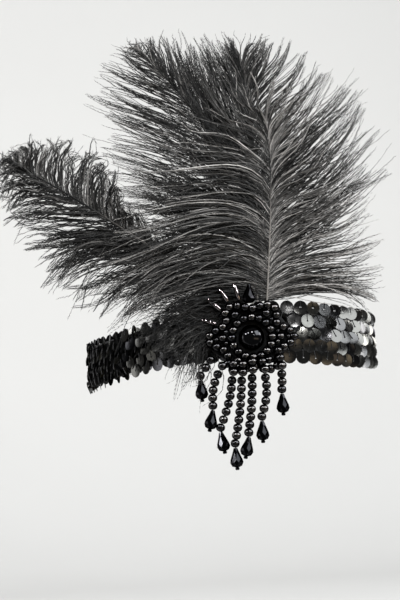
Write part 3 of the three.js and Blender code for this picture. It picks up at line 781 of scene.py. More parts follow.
def grow(name, guide, tree_name, values, shape=None):
    """Runs a tree on a guide mesh, with a shape that it repeats, and gives a plain mesh object."""
    tree = tree_named(tree_name)
    holder = link_piece(f"{name}_guide", guide)
    modifier = holder.modifiers.new(tree_name, "NODES")
    modifier.node_group = tree
    if shape:
        maker = bpy.data.objects.new(f"{name}_shape", shape)
        values = {**values, "Shape": maker}
    for item in tree.interface.items_tree:
        if item.name in values:
            modifier[item.identifier] = values[item.name]
    graph = bpy.context.evaluated_depsgraph_get()
    mesh = bpy.data.meshes.new_from_object(holder.evaluated_get(graph))
    bpy.data.objects.remove(holder)
    bpy.data.meshes.remove(guide)
    if shape:
        bpy.data.objects.remove(maker)
        bpy.data.meshes.remove(shape)
    if not mesh.polygons:
        raise RuntimeError(f"{name} came out empty")
    mesh.name = name
    return link_piece(name, mesh)


def place_piece(piece, node):
    """The piece hangs from the body and stands for a node of the frame, where it has one, which it hides."""
    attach(piece, BODY)
    if node:
        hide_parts(node)


# Finishes


def fine_mottle():
    """A shader group: soft uneven patches between two values."""
    group = bpy.data.node_groups.get("fine_mottle")
    if group:
        return group
    group = bpy.data.node_groups.new("fine_mottle", "ShaderNodeTree")
    for key in ("Scale", "Low", "High"):
        group.interface.new_socket(key, in_out="INPUT", socket_type="NodeSocketFloat")
    group.interface.new_socket("Value", in_out="OUTPUT", socket_type="NodeSocketFloat")
    given = group.nodes.new("NodeGroupInput").outputs
    place = group.nodes.new("ShaderNodeTexCoord").outputs["Object"]
    patches = {"Vector": place, "Scale": given["Scale"], "Detail": 3.0}
    noise = add_node(group, "ShaderNodeTexNoise", (), patches).outputs["Fac"]
    ends = {"Value": noise, "From Min": 0.3, "From Max": 0.7, "To Min": given["Low"], "To Max": given["High"]}
    spread = add_node(group, "ShaderNodeMapRange", (), ends).outputs["Result"]
    add_node(group, "NodeGroupOutput", (), {"Value": spread})
    return group


def new_finish(name):
    """A material and its node tree."""
    made = bpy.data.materials.new(name)
    made.use_nodes = True
    return made, made.node_tree


def mottle(tree, scale, low=0.0, high=1.0):
    """Soft uneven patches between two values."""
    inputs = {"Scale": scale, "Low": low, "High": high}
    return add_node(tree, "ShaderNodeGroup", {"node_tree": fine_mottle()}, inputs).outputs["Value"]


def carried(tree, name):
    """A value that the mesh carries."""
    return add_node(tree, "ShaderNodeAttribute", {"attribute_name": name}).outputs["Fac"]


def blend_colours(tree, share, first, second):
    """A colour between two, by a share that changes over the surface."""
    inputs = {"Factor": share, "A": as_colour(first), "B": as_colour(second)}
    return live(add_node(tree, "ShaderNodeMix", {"data_type": "RGBA"}, inputs).outputs, "Result")


def as_colour(value):
    """A colour with alpha, or a socket as it is."""
    return value if isinstance(value, bpy.types.NodeSocket) else (*value, 1.0)


def paler(colour, by):
    """A colour that is paler by a factor."""
    return tuple(min(1.0, by * c) for c in colour)


def bump(tree, height, strength, distance):
    """A normal from a height."""
    inputs = {"Height": height, "Strength": strength, "Distance": distance}
    return add_node(tree, "ShaderNodeBump", (), inputs).outputs["Normal"]


def feed(made, sockets):
    """The material, with its shader's sockets set or linked."""
    tree = made.node_tree
    shader = tree.nodes["Principled BSDF"]
    for key, value in sockets.items():
        if isinstance(value, bpy.types.NodeSocket):
            tree.links.new(value, shader.inputs[key])
        else:
            shader.inputs[key].default_value = value
    return made


def sequin_finish(settings):
    """Glossy black foil, each sequin a little different, with fine scuffs."""
    made, tree = new_finish("sequin_foil")
    return feed(made, {
        "Base Color": blend_colours(tree, carried(tree, "tone"), settings.sequin_dark, settings.sequin_pale),
        "Roughness": mottle(tree, 260.0, 0.12, 0.26),
        "Metallic": 1.0,
        "Normal": bump(tree, mottle(tree, 900.0), 0.05, 0.0002),
        "Specular Tint": FOIL_EDGE,
    })


def knit_finish(settings):
    """Black stretch knit: ribs that run up the band, crossed by fine courses, with painted shade that darkens
    the grooves between them.
    """
    made, tree = new_finish("band_knit")
    chart = add_node(tree, "ShaderNodeUVMap", {"uv_map": KNIT_CHART}).outputs["UV"]
    waves = []
    for direction, scale, distortion in (("X", 280.0, 0.6), ("Y", 420.0, 0.8)):
        inputs = {"Vector": chart, "Scale": scale, "Distortion": distortion, "Detail": 1.0}
        wave = add_node(tree, "ShaderNodeTexWave", {"bands_direction": direction}, inputs)
        waves.append(wave.outputs["Fac"])
    height = arithmetic(tree, "MULTIPLY", *waves)
    return feed(made, {
        # Colour follows the ribs' height: paler on top and darker in the grooves, a painted shade
        "Base Color": blend_colours(tree, height, settings.cloth_colour, paler(settings.cloth_colour, 2.2)),
        "Roughness": mottle(tree, 500.0, 0.75, 0.92),
        "Normal": bump(tree, height, 0.6, 0.0004),
        "Specular IOR Level": 0.25,
        "Sheen Weight": 0.04,
        "Sheen Roughness": 0.5,
    })


def felt_finish(settings):
    """Matted black felt."""
    made, tree = new_finish("black_felt")
    nap = mottle(tree, 1400.0)
    return feed(made, {
        "Base Color": blend_colours(tree, nap, settings.felt_colour, paler(settings.felt_colour, 2.0)),
        "Roughness": mottle(tree, 300.0, 0.88, 0.98),
        "Normal": bump(tree, nap, 0.5, 0.0003),
        "Specular IOR Level": 0.2,
        "Sheen Weight": 0.03,
        "Sheen Roughness": 0.6,
    })


def pearl_finish(settings):
    """Gunmetal pearl gloss over round beads, a little cloudy."""
    made, tree = new_finish("gunmetal_pearl")
    return feed(made, {
        "Base Color": blend_colours(tree, carried(tree, "tone"), settings.pearl_dark, settings.pearl_pale),
        "Metallic": 1.0,
        "Roughness": mottle(tree, 600.0, 0.07, 0.13),
        "Normal": bump(tree, mottle(tree, 700.0), 0.05, 0.0002),
        "Specular Tint": GLOSS_EDGE,
    })


def glass_finish(name, colour):
    """Polished black glass with faint handling marks."""
    made, tree = new_finish(name)
    return feed(made, {
        "Base Color": blend_colours(tree, mottle(tree, 350.0), colour, paler(colour, 1.3)),
        "Metallic": 1.0,
        "Roughness": mottle(tree, 420.0, 0.03, 0.09),
        "Specular Tint": GLOSS_EDGE,
    })


def thread_finish():
    """Black sewing thread."""
    made, tree = new_finish("black_thread")
    fibre = mottle(tree, 2500.0)
    return feed(made, {
        "Base Color": blend_colours(tree, fibre, (0.01, 0.01, 0.011), (0.03, 0.03, 0.032)),
        "Roughness": mottle(tree, 900.0, 0.5, 0.7),
        "Normal": bump(tree, fibre, 0.4, 0.0002),
    })


def feather_finish(settings):
    """Dyed ostrich: near-black barbs with a soft sheen, painted into their colour as grey highlight streaks
    over a little real gloss, and a shaft that is paler at its foot.
    """
    made, tree = new_finish("black_feather")
    # Share of the pale colour: the barbs' painted highlight, broken into soft patches
    share = arithmetic(tree, "MULTIPLY", carried(tree, "tone"), mottle(tree, 90.0, 0.5, 1.3))
    barb = blend_colours(tree, share, settings.barb_dark, settings.barb_painted_sheen)
    ends = {"Value": carried(tree, "along"), "From Min": 0.35, "From Max": 0.7}
    fade = add_node(tree, "ShaderNodeMapRange", (), ends).outputs["Result"]
    shaft = blend_colours(tree, fade, settings.shaft_colour, settings.barb_dark)
    return feed(made, {
        "Base Color": blend_colours(tree, carried(tree, "shaft"), barb, shaft),
        "Roughness": mottle(tree, 200.0, 0.42, 0.6),
        "Specular IOR Level": 0.22,
    })


def floor_finish(settings):
    """Pale matt paper."""
    made, tree = new_finish("pale_paper")
    return feed(made, {
        "Base Color": blend_colours(
            tree, mottle(tree, 3.0), settings.floor_colour, paler(settings.floor_colour, 1.02)
        ),
        "Roughness": mottle(tree, 40.0, 0.8, 0.9),
        "Specular IOR Level": 0.2,
    })


def finish_named(name):
    """A finish by its name, made on first use."""
    scene = bpy.context.scene
    makers = {
        "sequin_foil": lambda: sequin_finish(scene.headband_band),
        "band_knit": lambda: knit_finish(scene.headband_band),
        "black_felt": lambda: felt_finish(scene.headband_beads),
        "gunmetal_pearl": lambda: pearl_finish(scene.headband_beads),
        "stone_glass": lambda: glass_finish("stone_glass", scene.headband_beads.glass_colour),
        "jet_glass": lambda: glass_finish("jet_glass", scene.headband_beads.drop_colour),
        "cut_glass": lambda: glass_finish("cut_glass", scene.headband_beads.bugle_colour),
        "black_thread": thread_finish,
        "black_feather": lambda: feather_finish(scene.headband_plumes),
        "pale_paper": lambda: floor_finish(scene.headband_stage),
    }
    return bpy.data.materials.get(name) or makers[name]()


# Places of the band and medallion, in millimetres


def lengths_along(line):
    """Length of a line up to each of its points."""
    return np.concatenate([[0], np.cumsum(np.linalg.norm(np.diff(line, axis=0), axis=1))])


def band_places(angles, share, depth):
    """Points round the band at a share of its height and a depth from its inner face, and the way out."""
    turn = np.radians(angles)
    out = np.stack([np.cos(turn) / HEAD_HALF_WIDTH, np.sin(turn) / HEAD_HALF_DEPTH, 0 * turn], 1)
    out /= np.linalg.norm(out, axis=1, keepdims=True)
    places = np.stack([HEAD_HALF_WIDTH * np.cos(turn), HEAD_HALF_DEPTH * np.sin(turn), 0 * turn], 1)
    places += depth * out

    def eased(heights):
        shifts = (-EDGE_EASE, 0, EDGE_EASE)
        low, here, high = (np.interp((angles + shift) % 360, EDGE_ANGLES, heights) for shift in shifts)
        return (low + 2 * here + high) / 4

    low, high = eased(EDGE_LOW), eased(EDGE_HIGH)
    places[:, 2] = low + (high - low) * share
    return places, out


def even_angles(count, start):
    """Angles that step evenly along the band, from a start as a share of one step, and the band's length."""
    fine = np.linspace(0, 360, FINE_STEPS + 1)
    places, _ = band_places(fine, 0.5, 0.0)
    places[:, 2] = 0
    length = lengths_along(places)
    wanted = (np.arange(count) + start) * length[-1] / count
    return np.interp(wanted, length, fine), length[-1]


def seat(across, up, out):
    """A point of the medallion, bent round the band's front."""
    reach = FRONT_CURVE + out
    return np.array([across, FRONT_CURVE - FACE_HALF_DEPTH - math.sqrt(reach**2 - across**2), up])


def seat_normal(across):
    """The way out of the band's front."""
    return Vector((across, -math.sqrt(FRONT_CURVE**2 - across**2), 0)).normalized()


def bead_seat():
    """Height of a bead's centre over the band's face."""
    return BASE_FACE + GAP + bpy.context.scene.headband_beads.bead_radius / MM


def round_stone(turn, wide, tall, out):
    """A point of the medallion on an oval round the stone."""
    return seat(STONE_CENTRE[0] + wide * math.cos(turn), STONE_CENTRE[1] + tall * math.sin(turn), out)


def petal_reach(turn):
    """Half width and half height of the petals' outline, which swings between tips and dips."""
    swing = 0.5 + 0.5 * math.cos(PETALS * turn)
    return tuple(dip + (tip - dip) * swing for tip, dip in zip(PETAL_TIPS, PETAL_DIPS))


def inner_ring_places():
    """Bead centres of the ring round the stone."""
    turns = 2 * np.pi * np.arange(INNER_RING_BEADS) / INNER_RING_BEADS
    return np.array([round_stone(t, INNER_RING_RADIUS, INNER_RING_RADIUS, bead_seat()) for t in turns])


def petal_places():
    """Bead centres of the outer string, which follows the petals all the way round."""
    turns = np.linspace(0, 2 * np.pi, PETAL_STEPS + 1)
    line = np.array([round_stone(t, *petal_reach(t), bead_seat()) for t in turns])
    length = lengths_along(line)
    beads = int(length[-1] / STRAND_PITCH)
    wanted = np.arange(beads) * length[-1] / beads
    return np.stack([np.interp(wanted, length, line[:, k]) for k in range(3)], 1)


def strand_places(strand, above, last):
    """Bead centres of a strand, at one pitch up from a last height, the top ones over the beads above."""
    reach = BEAD_REACH * bpy.context.scene.headband_beads.bead_radius / MM
    steps = round((strand["from"] - last) / STRAND_PITCH)
    places = []
    for share in np.linspace(0, 1, steps + 1):
        sideways = strand["across"] + (strand["end"] - strand["across"]) * share
        sideways += strand["bow"] * math.sin(math.pi * share)
        up, out = last + (1 - share) * steps * STRAND_PITCH, bead_seat()
        while np.linalg.norm(above - seat(sideways, up, out), axis=1).min() < reach:
            out += PUSH_STEP
        places.append(seat(sideways, up, out))
    return np.array(places)


def bugle_ends(direction, length, beads):
    """Inner and outer end of a bugle, as far in as the beads let it."""
    turn = math.radians(direction)
    need = bpy.context.scene.headband_beads.bead_radius / MM + BUGLE_RADIUS + BUGLE_CLEARANCE

    def place(distance):
        return round_stone(turn, distance, distance, bead_seat())

    start = INNER_RING_RADIUS
    while True:
        first, last = place(start + BUGLE_RADIUS), place(start + length)
        run = last - first
        share = np.clip(((beads - first) @ run) / (run @ run), 0, 1)
        if np.linalg.norm(first + share[:, None] * run - beads, axis=1).min() >= need:
            return place(start), last
        start += PUSH_STEP


# Band


def make_cloth(settings):
    """The knitted band under the sequins, one closed loop with rounded hems, and the size it was cut."""
    thick = settings.cloth_thickness / MM
    angles, length = even_angles(CLOTH_STEPS, 0.0)
    low, high = HEM_INSET, 1 - HEM_INSET
    turns = [math.pi * k / HEM_STEPS for k in range(1, HEM_STEPS)]
    section = [(0.0, high), (0.0, 0.5), (0.0, low)]
    section += [(thick * (0.5 - 0.5 * math.cos(t)), low - HEM_ROUND * math.sin(t)) for t in turns]
    section += [(thick, low), (thick, 0.5), (thick, high)]
    section += [(thick * (0.5 + 0.5 * math.cos(t)), high + HEM_ROUND * math.sin(t)) for t in turns]
    points = np.concatenate([band_places(angles, share, depth)[0] for depth, share in section]) * MM
    upper, lower = (np.interp(angles, EDGE_ANGLES, edge) for edge in (EDGE_HIGH, EDGE_LOW))
    height = float(np.mean(upper - lower))
    rows, chart = len(section), []
    for row in range(rows):
        over = (row + 1) % rows
        for k in range(CLOTH_STEPS):
            for corner, step in ((row, k), (row, k + 1), (over, k + 1), (over, k)):
                chart.append((step * length / CLOTH_STEPS * MM, section[corner][1] * height * MM))
    faces = row_faces(rows, CLOTH_STEPS, closed=True)
    mesh = closed_mesh("band_cloth", points, faces, smooth_degrees=180, chart=chart)
    return link_piece("band_cloth", mesh, "band_knit"), (height * (1 - 2 * HEM_INSET) * MM, length * MM)


def sequin_mesh(settings):
    """A round foil disc, a little cupped, with a hole for its thread."""
    radius, hole, cup, thick = (
        settings.sequin_radius, settings.sequin_hole, settings.sequin_cup, settings.sequin_thickness
    )
    dish = (SEQUIN_DISH[0] * radius, SEQUIN_DISH[1] * cup)
    profile = [(hole, 0.0), dish, (radius, cup), (radius, cup - thick), (hole, -thick)]
    return closed_mesh("sequin", *turned(profile, SEQUIN_SIDES, ring=True), smooth_degrees=40)


def stitch_mesh(settings):
    """A short thread from a sequin's hole to its rim, three-sided and flat underneath."""
    length, rise = STITCH_LENGTH * settings.sequin_radius, settings.sequin_cup + STITCH_RISE
    section = ((-STITCH_HALF, 0, 0), (STITCH_HALF, 0, 0), (0, 0, STITCH_HEIGHT * STITCH_HALF))
    points = []
    for share, lift in zip(STITCH_SHARES, (0.0, STITCH_DIP, rise, rise - STITCH_DIP)):
        middle = np.array([0.0, length * share, lift])
        points += [middle + np.array(p) for p in section]
    last = len(points) - 1
    faces = row_faces(len(STITCH_SHARES), len(section)) + [[0, 2, 1], [last - 2, last - 1, last]]
    return closed_mesh("stitch", points, faces)


def sequin_guide(settings):
    """Points of the staggered rows, left out under the medallion's base."""
    places, facing, along = [], [], []
    depth = settings.cloth_thickness / MM + SEQUIN_STAND_OFF
    for row, (share, tip) in enumerate(SEQUIN_ROWS):
        angles, _ = even_angles(settings.sequins_a_row, 0.5 * (row % 2))
        here, out = band_places(angles, share, depth)
        across = (here[:, 0] - BASE_CENTRE[0]) / (BASE_HALF[0] - SEQUIN_RUN_IN)
        up = (here[:, 2] - BASE_CENTRE[1]) / (BASE_HALF[1] - SEQUIN_RUN_IN)
        shown = (here[:, 1] > 0) | (across**2 + up**2 > 1)
        places.append(here[shown])
        row_way = np.cross([0, 0, 1], out[shown])
        lap = np.radians(np.interp(angles[shown], LAP_ANGLES, LAP_TURN))[:, None]
        turned_out = np.cos(lap) * out[shown] - np.sin(lap) * row_way
        facing.append(math.cos(math.radians(tip)) * turned_out + [0, 0, math.sin(math.radians(tip))])
        along.append(np.cross([0, 0, 1], turned_out))
    return np.concatenate(places) * MM, np.concatenate(facing), np.concatenate(along)


def grow_sewn(name, shape, guide, tilt, seed, finish):
    """A piece of one shape sewn on at each point of a guide."""
    values = {"Tilt": tilt, "Seed": seed, "Finish": finish_named(finish)}
    return grow(name, point_guide(f"{name}_points", *guide), "sewn_rows", values, shape)


class HEADBAND_OT_band(bpy.types.Operator):
    """Make the knitted band and the rows of sequins sewn on it"""

    bl_idname = "headband.band"
    bl_label = "Sequin Band"

    def execute(self, context):
        settings = context.scene.headband_band
        cloth, flat = make_cloth(settings)
        guide = sequin_guide(settings)
        tilt, seed = (settings.sequin_tilt, settings.sequin_tilt, SEQUIN_SPIN), settings.seed
        sequins = grow_sewn("sequins", sequin_mesh(settings), guide, tilt, seed, "sequin_foil")
        threads = grow_sewn("sequin_threads", stitch_mesh(settings), guide, tilt, seed, "black_thread")
        place_piece(cloth, None)
        place_piece(sequins, "sequin_band")
        place_piece(threads, None)
        return {"FINISHED"}


# Medallion


def bead_mesh(radius, hole):
    """A round bead with a drilled hole along Z."""
    first = math.asin((hole / radius) ** (1 / BEAD_SHOULDER))
    profile = [
        (radius * math.sin(a) ** BEAD_SHOULDER, BEAD_SQUASH * radius * math.cos(a))
        for a in np.linspace(first, math.pi - first, BEAD_STEPS)
    ]
    return closed_mesh("bead", *turned(profile, BEAD_SIDES, ring=True), smooth_degrees=50)


def grow_string(name, places, loop, seed):
    """A string of round beads on a thread."""
    settings = bpy.context.scene.headband_beads
    values = {
        "Thread Radius": settings.thread_radius,
        "Unevenness": BEAD_UNEVENNESS,
        "Seed": settings.seed + seed,
        "Finish": finish_named("gunmetal_pearl"),
        "Thread Finish": finish_named("black_thread"),
    }
    guide = line_guide(f"{name}_line", np.asarray(places) * MM, loop)
    return grow(name, guide, "strung_beads", values, bead_mesh(settings.bead_radius, settings.bead_hole))


def drop_piece(name, tip, lean):
    """A faceted glass drop that hangs from its tip, leaning sideways by an angle."""
    profile = [(radius * DROP_RADIUS * MM, -down * DROP_LENGTH * MM) for radius, down in DROP_PROFILE]
    mesh = closed_mesh(name, *turned(profile, DROP_SIDES, stagger=True))
    mesh.transform(Matrix.Translation(Vector(tip) * MM) @ Matrix.Rotation(math.radians(lean), 4, "Y"))
    return link_piece(name, mesh, "jet_glass")


def stand_along(mesh, foot, way):
    """Moves a shape made along Z to a foot in millimetres, and points it another way."""
    turn = way.to_track_quat("Z", "Y").to_matrix().to_4x4()
    mesh.transform(Matrix.Translation(Vector(foot) * MM) @ turn)


def stone_piece():
    """The domed stone in the middle of the medallion, with a thin girdle."""
    rim = STONE_RADIUS - STONE_EDGE
    profile = [(0.0, 0.0), (rim, 0.0), (STONE_RADIUS, STONE_EDGE), (STONE_RADIUS, STONE_GIRDLE)]
    for k in range(1, STONE_STEPS + 1):
        turn = 0.5 * math.pi * k / STONE_STEPS
        radius = 0.0 if k == STONE_STEPS else STONE_RADIUS * math.cos(turn)
        profile.append((radius, STONE_GIRDLE + (STONE_HEIGHT - STONE_GIRDLE) * math.sin(turn)))
    shape = turned([(r * MM, h * MM) for r, h in profile], STONE_SIDES)
    mesh = closed_mesh("stone", *shape, smooth_degrees=40)
    sag = STONE_RADIUS**2 / (2 * FRONT_CURVE)
    stand_along(mesh, seat(*STONE_CENTRE, BASE_FACE + GAP + sag / 2), seat_normal(STONE_CENTRE[0]))
    return link_piece("stone", mesh, "stone_glass")


def bugle_piece(name, ends):
    """A cut glass tube between two ends."""
    length = float(np.linalg.norm(ends[1] - ends[0]))
    shoulder = BUGLE_RADIUS - BUGLE_CHAMFER
    profile = [
        (BUGLE_HOLE, 0.0), (shoulder, 0.0), (BUGLE_RADIUS, BUGLE_CHAMFER),
        (BUGLE_RADIUS, length - BUGLE_CHAMFER), (shoulder, length), (BUGLE_HOLE, length),
    ]
    shape = turned([(r * MM, h * MM) for r, h in profile], BUGLE_SIDES, ring=True)
    mesh = closed_mesh(name, *shape, smooth_degrees=50)
    stand_along(mesh, ends[0], Vector(ends[1] - ends[0]))
    return link_piece(name, mesh, "cut_glass")


def base_piece():
    """The felt oval that carries the beads, bent round the band, with a softened rim."""
    rings = [(share, BASE_BACK) for share in BASE_RINGS] + [(1.0, BASE_BACK + BASE_RIM)]
    rings += [(1.0, BASE_FACE - BASE_RIM)] + [(share, BASE_FACE) for share in reversed(BASE_RINGS)]
    points = []
    for share, out in rings:
        for k in range(BASE_SIDES):
            turn = 2 * math.pi * k / BASE_SIDES
            across = BASE_CENTRE[0] + BASE_HALF[0] * share * math.cos(turn)
            points.append(seat(across, BASE_CENTRE[1] + BASE_HALF[1] * share * math.sin(turn), out) * MM)
    faces = row_faces(len(rings), BASE_SIDES)
    for first, out in ((0, BASE_BACK), ((len(rings) - 1) * BASE_SIDES, BASE_FACE)):
        points.append(seat(*BASE_CENTRE, out) * MM)
        middle = len(points) - 1
        faces += [[middle, first + k, first + (k + 1) % BASE_SIDES] for k in range(BASE_SIDES)]
    mesh = closed_mesh("felt_base", points, faces, smooth_degrees=60)
    return link_piece("felt_base", mesh, "black_felt")


def heaped_places(resting, radius, height):
    """Centres of beads heaped over the felt, up to a height, each set where one comes to rest lowest."""
    foot, way = [], []
    for turn in np.arange(0, 2 * np.pi, HEAP_TURN_STEP):
        wide, tall = petal_reach(turn)
        for share in np.arange(HEAP_INNER, 1.0, HEAP_SHARE_STEP):
            aside, above = wide * share * math.cos(turn), tall * share * math.sin(turn)
            if math.hypot(aside, above) > STONE_RADIUS + HEAP_STONE_ROOM * radius:
                foot.append(seat(STONE_CENTRE[0] + aside, STONE_CENTRE[1] + above, BASE_FACE + GAP + radius))
                way.append(seat_normal(STONE_CENTRE[0] + aside))
    foot, way = np.array(foot), np.array(way)
    rise = np.zeros(len(foot))

    def lie_over(places, need):
        for place in places:
            aside = place - foot
            along = (aside * way).sum(axis=1)
            room = need**2 - (aside**2).sum(axis=1) + along**2
            over = room > 0
            rise[over] = np.maximum(rise[over], along[over] + np.sqrt(room[over]))

    for places, other in resting:
        lie_over(places, other + radius)
    found = []
    while rise.min() < height:
        lowest = int(np.argmin(rise))
        found.append(foot[lowest] + rise[lowest] * way[lowest])
        lie_over(found[-1:], 2 * radius)
    return np.array(found)


class HEADBAND_OT_medallion(bpy.types.Operator):
    """Make the medallion: felt base, stone, bead rings, bugles, heaped beads and the drop on top"""

    bl_idname = "headband.medallion"
    bl_label = "Medallion"

    def execute(self, context):
        settings = context.scene.headband_beads
        place_piece(base_piece(), "medallion_base")
        place_piece(stone_piece(), "centre_cabochon")
        inner, petals = inner_ring_places(), petal_places()
        ring = grow_string("inner_ring", inner, loop=True, seed=1)
        place_piece(ring, "inner_bead_ring")
        ring = grow_string("petal_ring", petals, loop=True, seed=2)
        place_piece(ring, "petal_bead_ring")
        beads = np.concatenate([inner, petals])
        resting = [(beads, settings.bead_radius / MM)]
        for k, (direction, length) in enumerate(BUGLES, 1):
            ends = bugle_ends(direction, length, beads)
            place_piece(bugle_piece(f"bugle_{k}", ends), f"bugle_spike_{k}")
            resting.append((np.linspace(*ends, BUGLE_STEPS), BUGLE_RADIUS))
        for name, size, height in HEAPS:
            radius = getattr(settings, size)
            heap = heaped_places(resting, radius / MM, height)
            resting.append((heap, radius / MM))
            ways = np.array([seat_normal(p[0]) for p in heap])
            guide = (heap * MM, ways, np.cross([0, 0, 1], ways))
            shape = bead_mesh(radius, HEAP_HOLE * radius)
            heaped = grow_sewn(name, shape, guide, HEAP_TILT, settings.seed, "gunmetal_pearl")
            place_piece(heaped, None)
        tip = seat(TOP_DROP["across"], TOP_DROP["up"] + DROP_LENGTH, BASE_FACE + GAP + DROP_RADIUS)
        place_piece(drop_piece("upright_drop", tip, TOP_DROP["lean"]), "top_drop")
        return {"FINISHED"}


# Strands


def stop_mesh(settings):
    """A seed bead, wider than it is tall, with its hole along Z."""
    radius, half = settings.stop_radius, STOP_HALF * settings.stop_radius
    upper = [(wide * radius, height * half) for wide, height in STOP_PROFILE]
    profile = upper + [(radius, 0.0)] + [(wide, -height) for wide, height in reversed(upper)]
    return closed_mesh("stop", *turned(profile, STOP_SIDES, ring=True), smooth_degrees=60)


class HEADBAND_OT_strands(bpy.types.Operator):
    """Make the hanging strands of beads with their glass drops and the seed beads that stop them"""

    bl_idname = "headband.strands"
    bl_label = "Hanging Strands"

    def execute(self, context):
        settings = context.scene.headband_beads
        petals = petal_places()
        half = BEAD_SQUASH * settings.bead_radius / MM
        stops, ways = [], []
        for k, strand in enumerate(STRANDS, 1):
            tip_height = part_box(f"drop_{k}")[1].z / MM + GAP
            places = strand_places(strand, petals, tip_height + half)
            beads = grow_string(f"beads_{k}", places, loop=False, seed=10 + k)
            place_piece(beads, f"strand_{k}")
            tip = places[-1] - np.array([0, 0, half])
            drop = drop_piece(f"glass_drop_{k}", tip, -strand["lean"])
            place_piece(drop, f"drop_{k}")
            lean = math.radians(strand["lean"])
            way = np.array([math.sin(lean), 0.0, -math.cos(lean)])
            stops.append((tip + way * DROP_LENGTH) * MM + way * STOP_PAST_END * settings.stop_radius)
            ways.append(way)
        guide = (stops, ways, np.tile([0.0, -1.0, 0.0], (len(stops), 1)))
        seeds = grow_sewn("drop_stops", stop_mesh(settings), guide, NO_TILT, settings.seed, "jet_glass")
        place_piece(seeds, None)
        return {"FINISHED"}


# Plumes


def bezier(t, a, b, c, d):
    """Points at shares of a curve with two ends and two handles."""
    return (1 - t) ** 3 * a + 3 * (1 - t) ** 2 * t * b + 3 * (1 - t) * t**2 * c + t**3 * d


def curve_point(shaft, at):
    """Points and unit tangents of a shaft's curve."""
    a, b, c, d = (np.asarray(p, float) for p in shaft)
    t = np.asarray(at, float)[:, None]
    way = (1 - t) ** 2 * (b - a) + 2 * (1 - t) * t * (c - b) + t**2 * (d - c)
    return bezier(t, a, b, c, d), way / np.linalg.norm(way, axis=1, keepdims=True)


def barb_lines(plume, side, sign, count, settings, random):
    """Lines of one side's barbs, which lie in broad sprays and draw into clumps towards their tips."""
    rows = np.array(plume[side], float)
    sprays = settings.sprays_a_side
    clumps = max(2, settings.clumps_a_side * count // settings.barbs_a_side)
    spread = (np.arange(count) + random.uniform(0, 1, count)) / count
    at = np.interp(spread * (len(rows) - 1), np.arange(len(rows)), rows[:, 0])
    shifts = random.uniform(-CLUMP_SHIFT, CLUMP_SHIFT, clumps - 1)
    clump = np.searchsorted(np.sort((np.arange(1, clumps) + shifts) / clumps), spread)
    stray = random.uniform(0, 1, count) < STRAY_SHARE
    loose = np.where(stray, STRAY_LOOSE, 1.0)
    knots = np.linspace(0, 1, sprays)

    def vary(by_spray, by_clump, by_barb):
        broad = np.interp(spread, knots, random.normal(0, by_spray, sprays))
        return broad + random.normal(0, by_clump, clumps)[clump] + loose * random.normal(0, by_barb, count)

    across, up, lift, fall = (np.interp(at, rows[:, 0], rows[:, k]) for k in (1, 2, 3, 4))
    root, tangent = curve_point(plume["shaft"], at)
    viewer = np.array([0.0, -1.0, 0.0])
    face = viewer - tangent * (tangent @ viewer)[:, None]
    face /= np.linalg.norm(face, axis=1, keepdims=True)
    outward = sign * np.cross(tangent, face)
    reach = np.stack([across - root[:, 0], 0 * at, up - root[:, 2]], 1)
    full = random.uniform(*FULL_LENGTH, count)
    short = np.where(random.uniform(0, 1, count) < SHORT_SHARE, random.uniform(*SHORT_LENGTH, count), full)
    reach *= (random.uniform(*CLUMP_LENGTH, clumps)[clump] * short)[:, None]
    swing = np.radians(plume.get("loose", 1.0) * vary(*BARB_SWING))
    reach[:, 0], reach[:, 2] = (
        reach[:, 0] * np.cos(swing) - reach[:, 2] * np.sin(swing),
        reach[:, 0] * np.sin(swing) + reach[:, 2] * np.cos(swing),
    )
    reach[:, 1] = -plume["forward"] - np.minimum(vary(*BARB_AHEAD), plume.get("ahead", AHEAD_LIMIT))
    chord = np.linalg.norm(reach, axis=1, keepdims=True)
    turn = np.radians(lift + vary(*BARB_LIFT))[:, None]
    bend = root + ROOT_HANDLE * chord * (np.cos(turn) * tangent + np.sin(turn) * outward)
    late = root + TIP_HANDLE * reach
    curl = plume.get("curl", 1.0)
    late[:, 2] += fall + curl * vary(*BARB_FALL)
    share = np.linspace(0, 1, BARB_STEPS + 1)
    corners = (corner[:, None] for corner in (root, bend, late, root + reach))
    lines = bezier(share[None, :, None], *corners)
    height = curl * np.abs(vary(*BARB_WAVE))[:, None]
    phase = random.uniform(0, 1, clumps)[clump][:, None]
    wave = height * np.sin(2 * np.pi * (BARB_WAVES * share[None] + phase))
    lines += (wave * share[None])[..., None] * np.cross(reach / chord, face)[:, None]
    pull = share**CLUMP_POWER * settings.clumping
    for group in range(clumps):
        members = np.flatnonzero((clump == group) & ~stray)
        if len(members) > 1:
            middle = lines[members].mean(axis=0)
            lines[members] += pull[None, :, None] * (middle - lines[members])
    # Painted highlight streaks: the share of the pale sheen colour in each barb's colour, by side, clump and
    # barb, and less at the foot
    shine = SHINE_CLUMP * random.normal(0, 1, clumps)[clump] + SHINE_BARB * random.normal(0, 1, count)
    painted_sheen = PAINTED_SHEEN_SHARE * plume["tone"][sign > 0] * np.interp(spread, FOOT_SPREAD, FOOT_SHEEN)
    return lines, np.minimum(1.0, painted_sheen * np.exp(SHINE_POWER * np.minimum(shine, SHINE_LIMIT)))


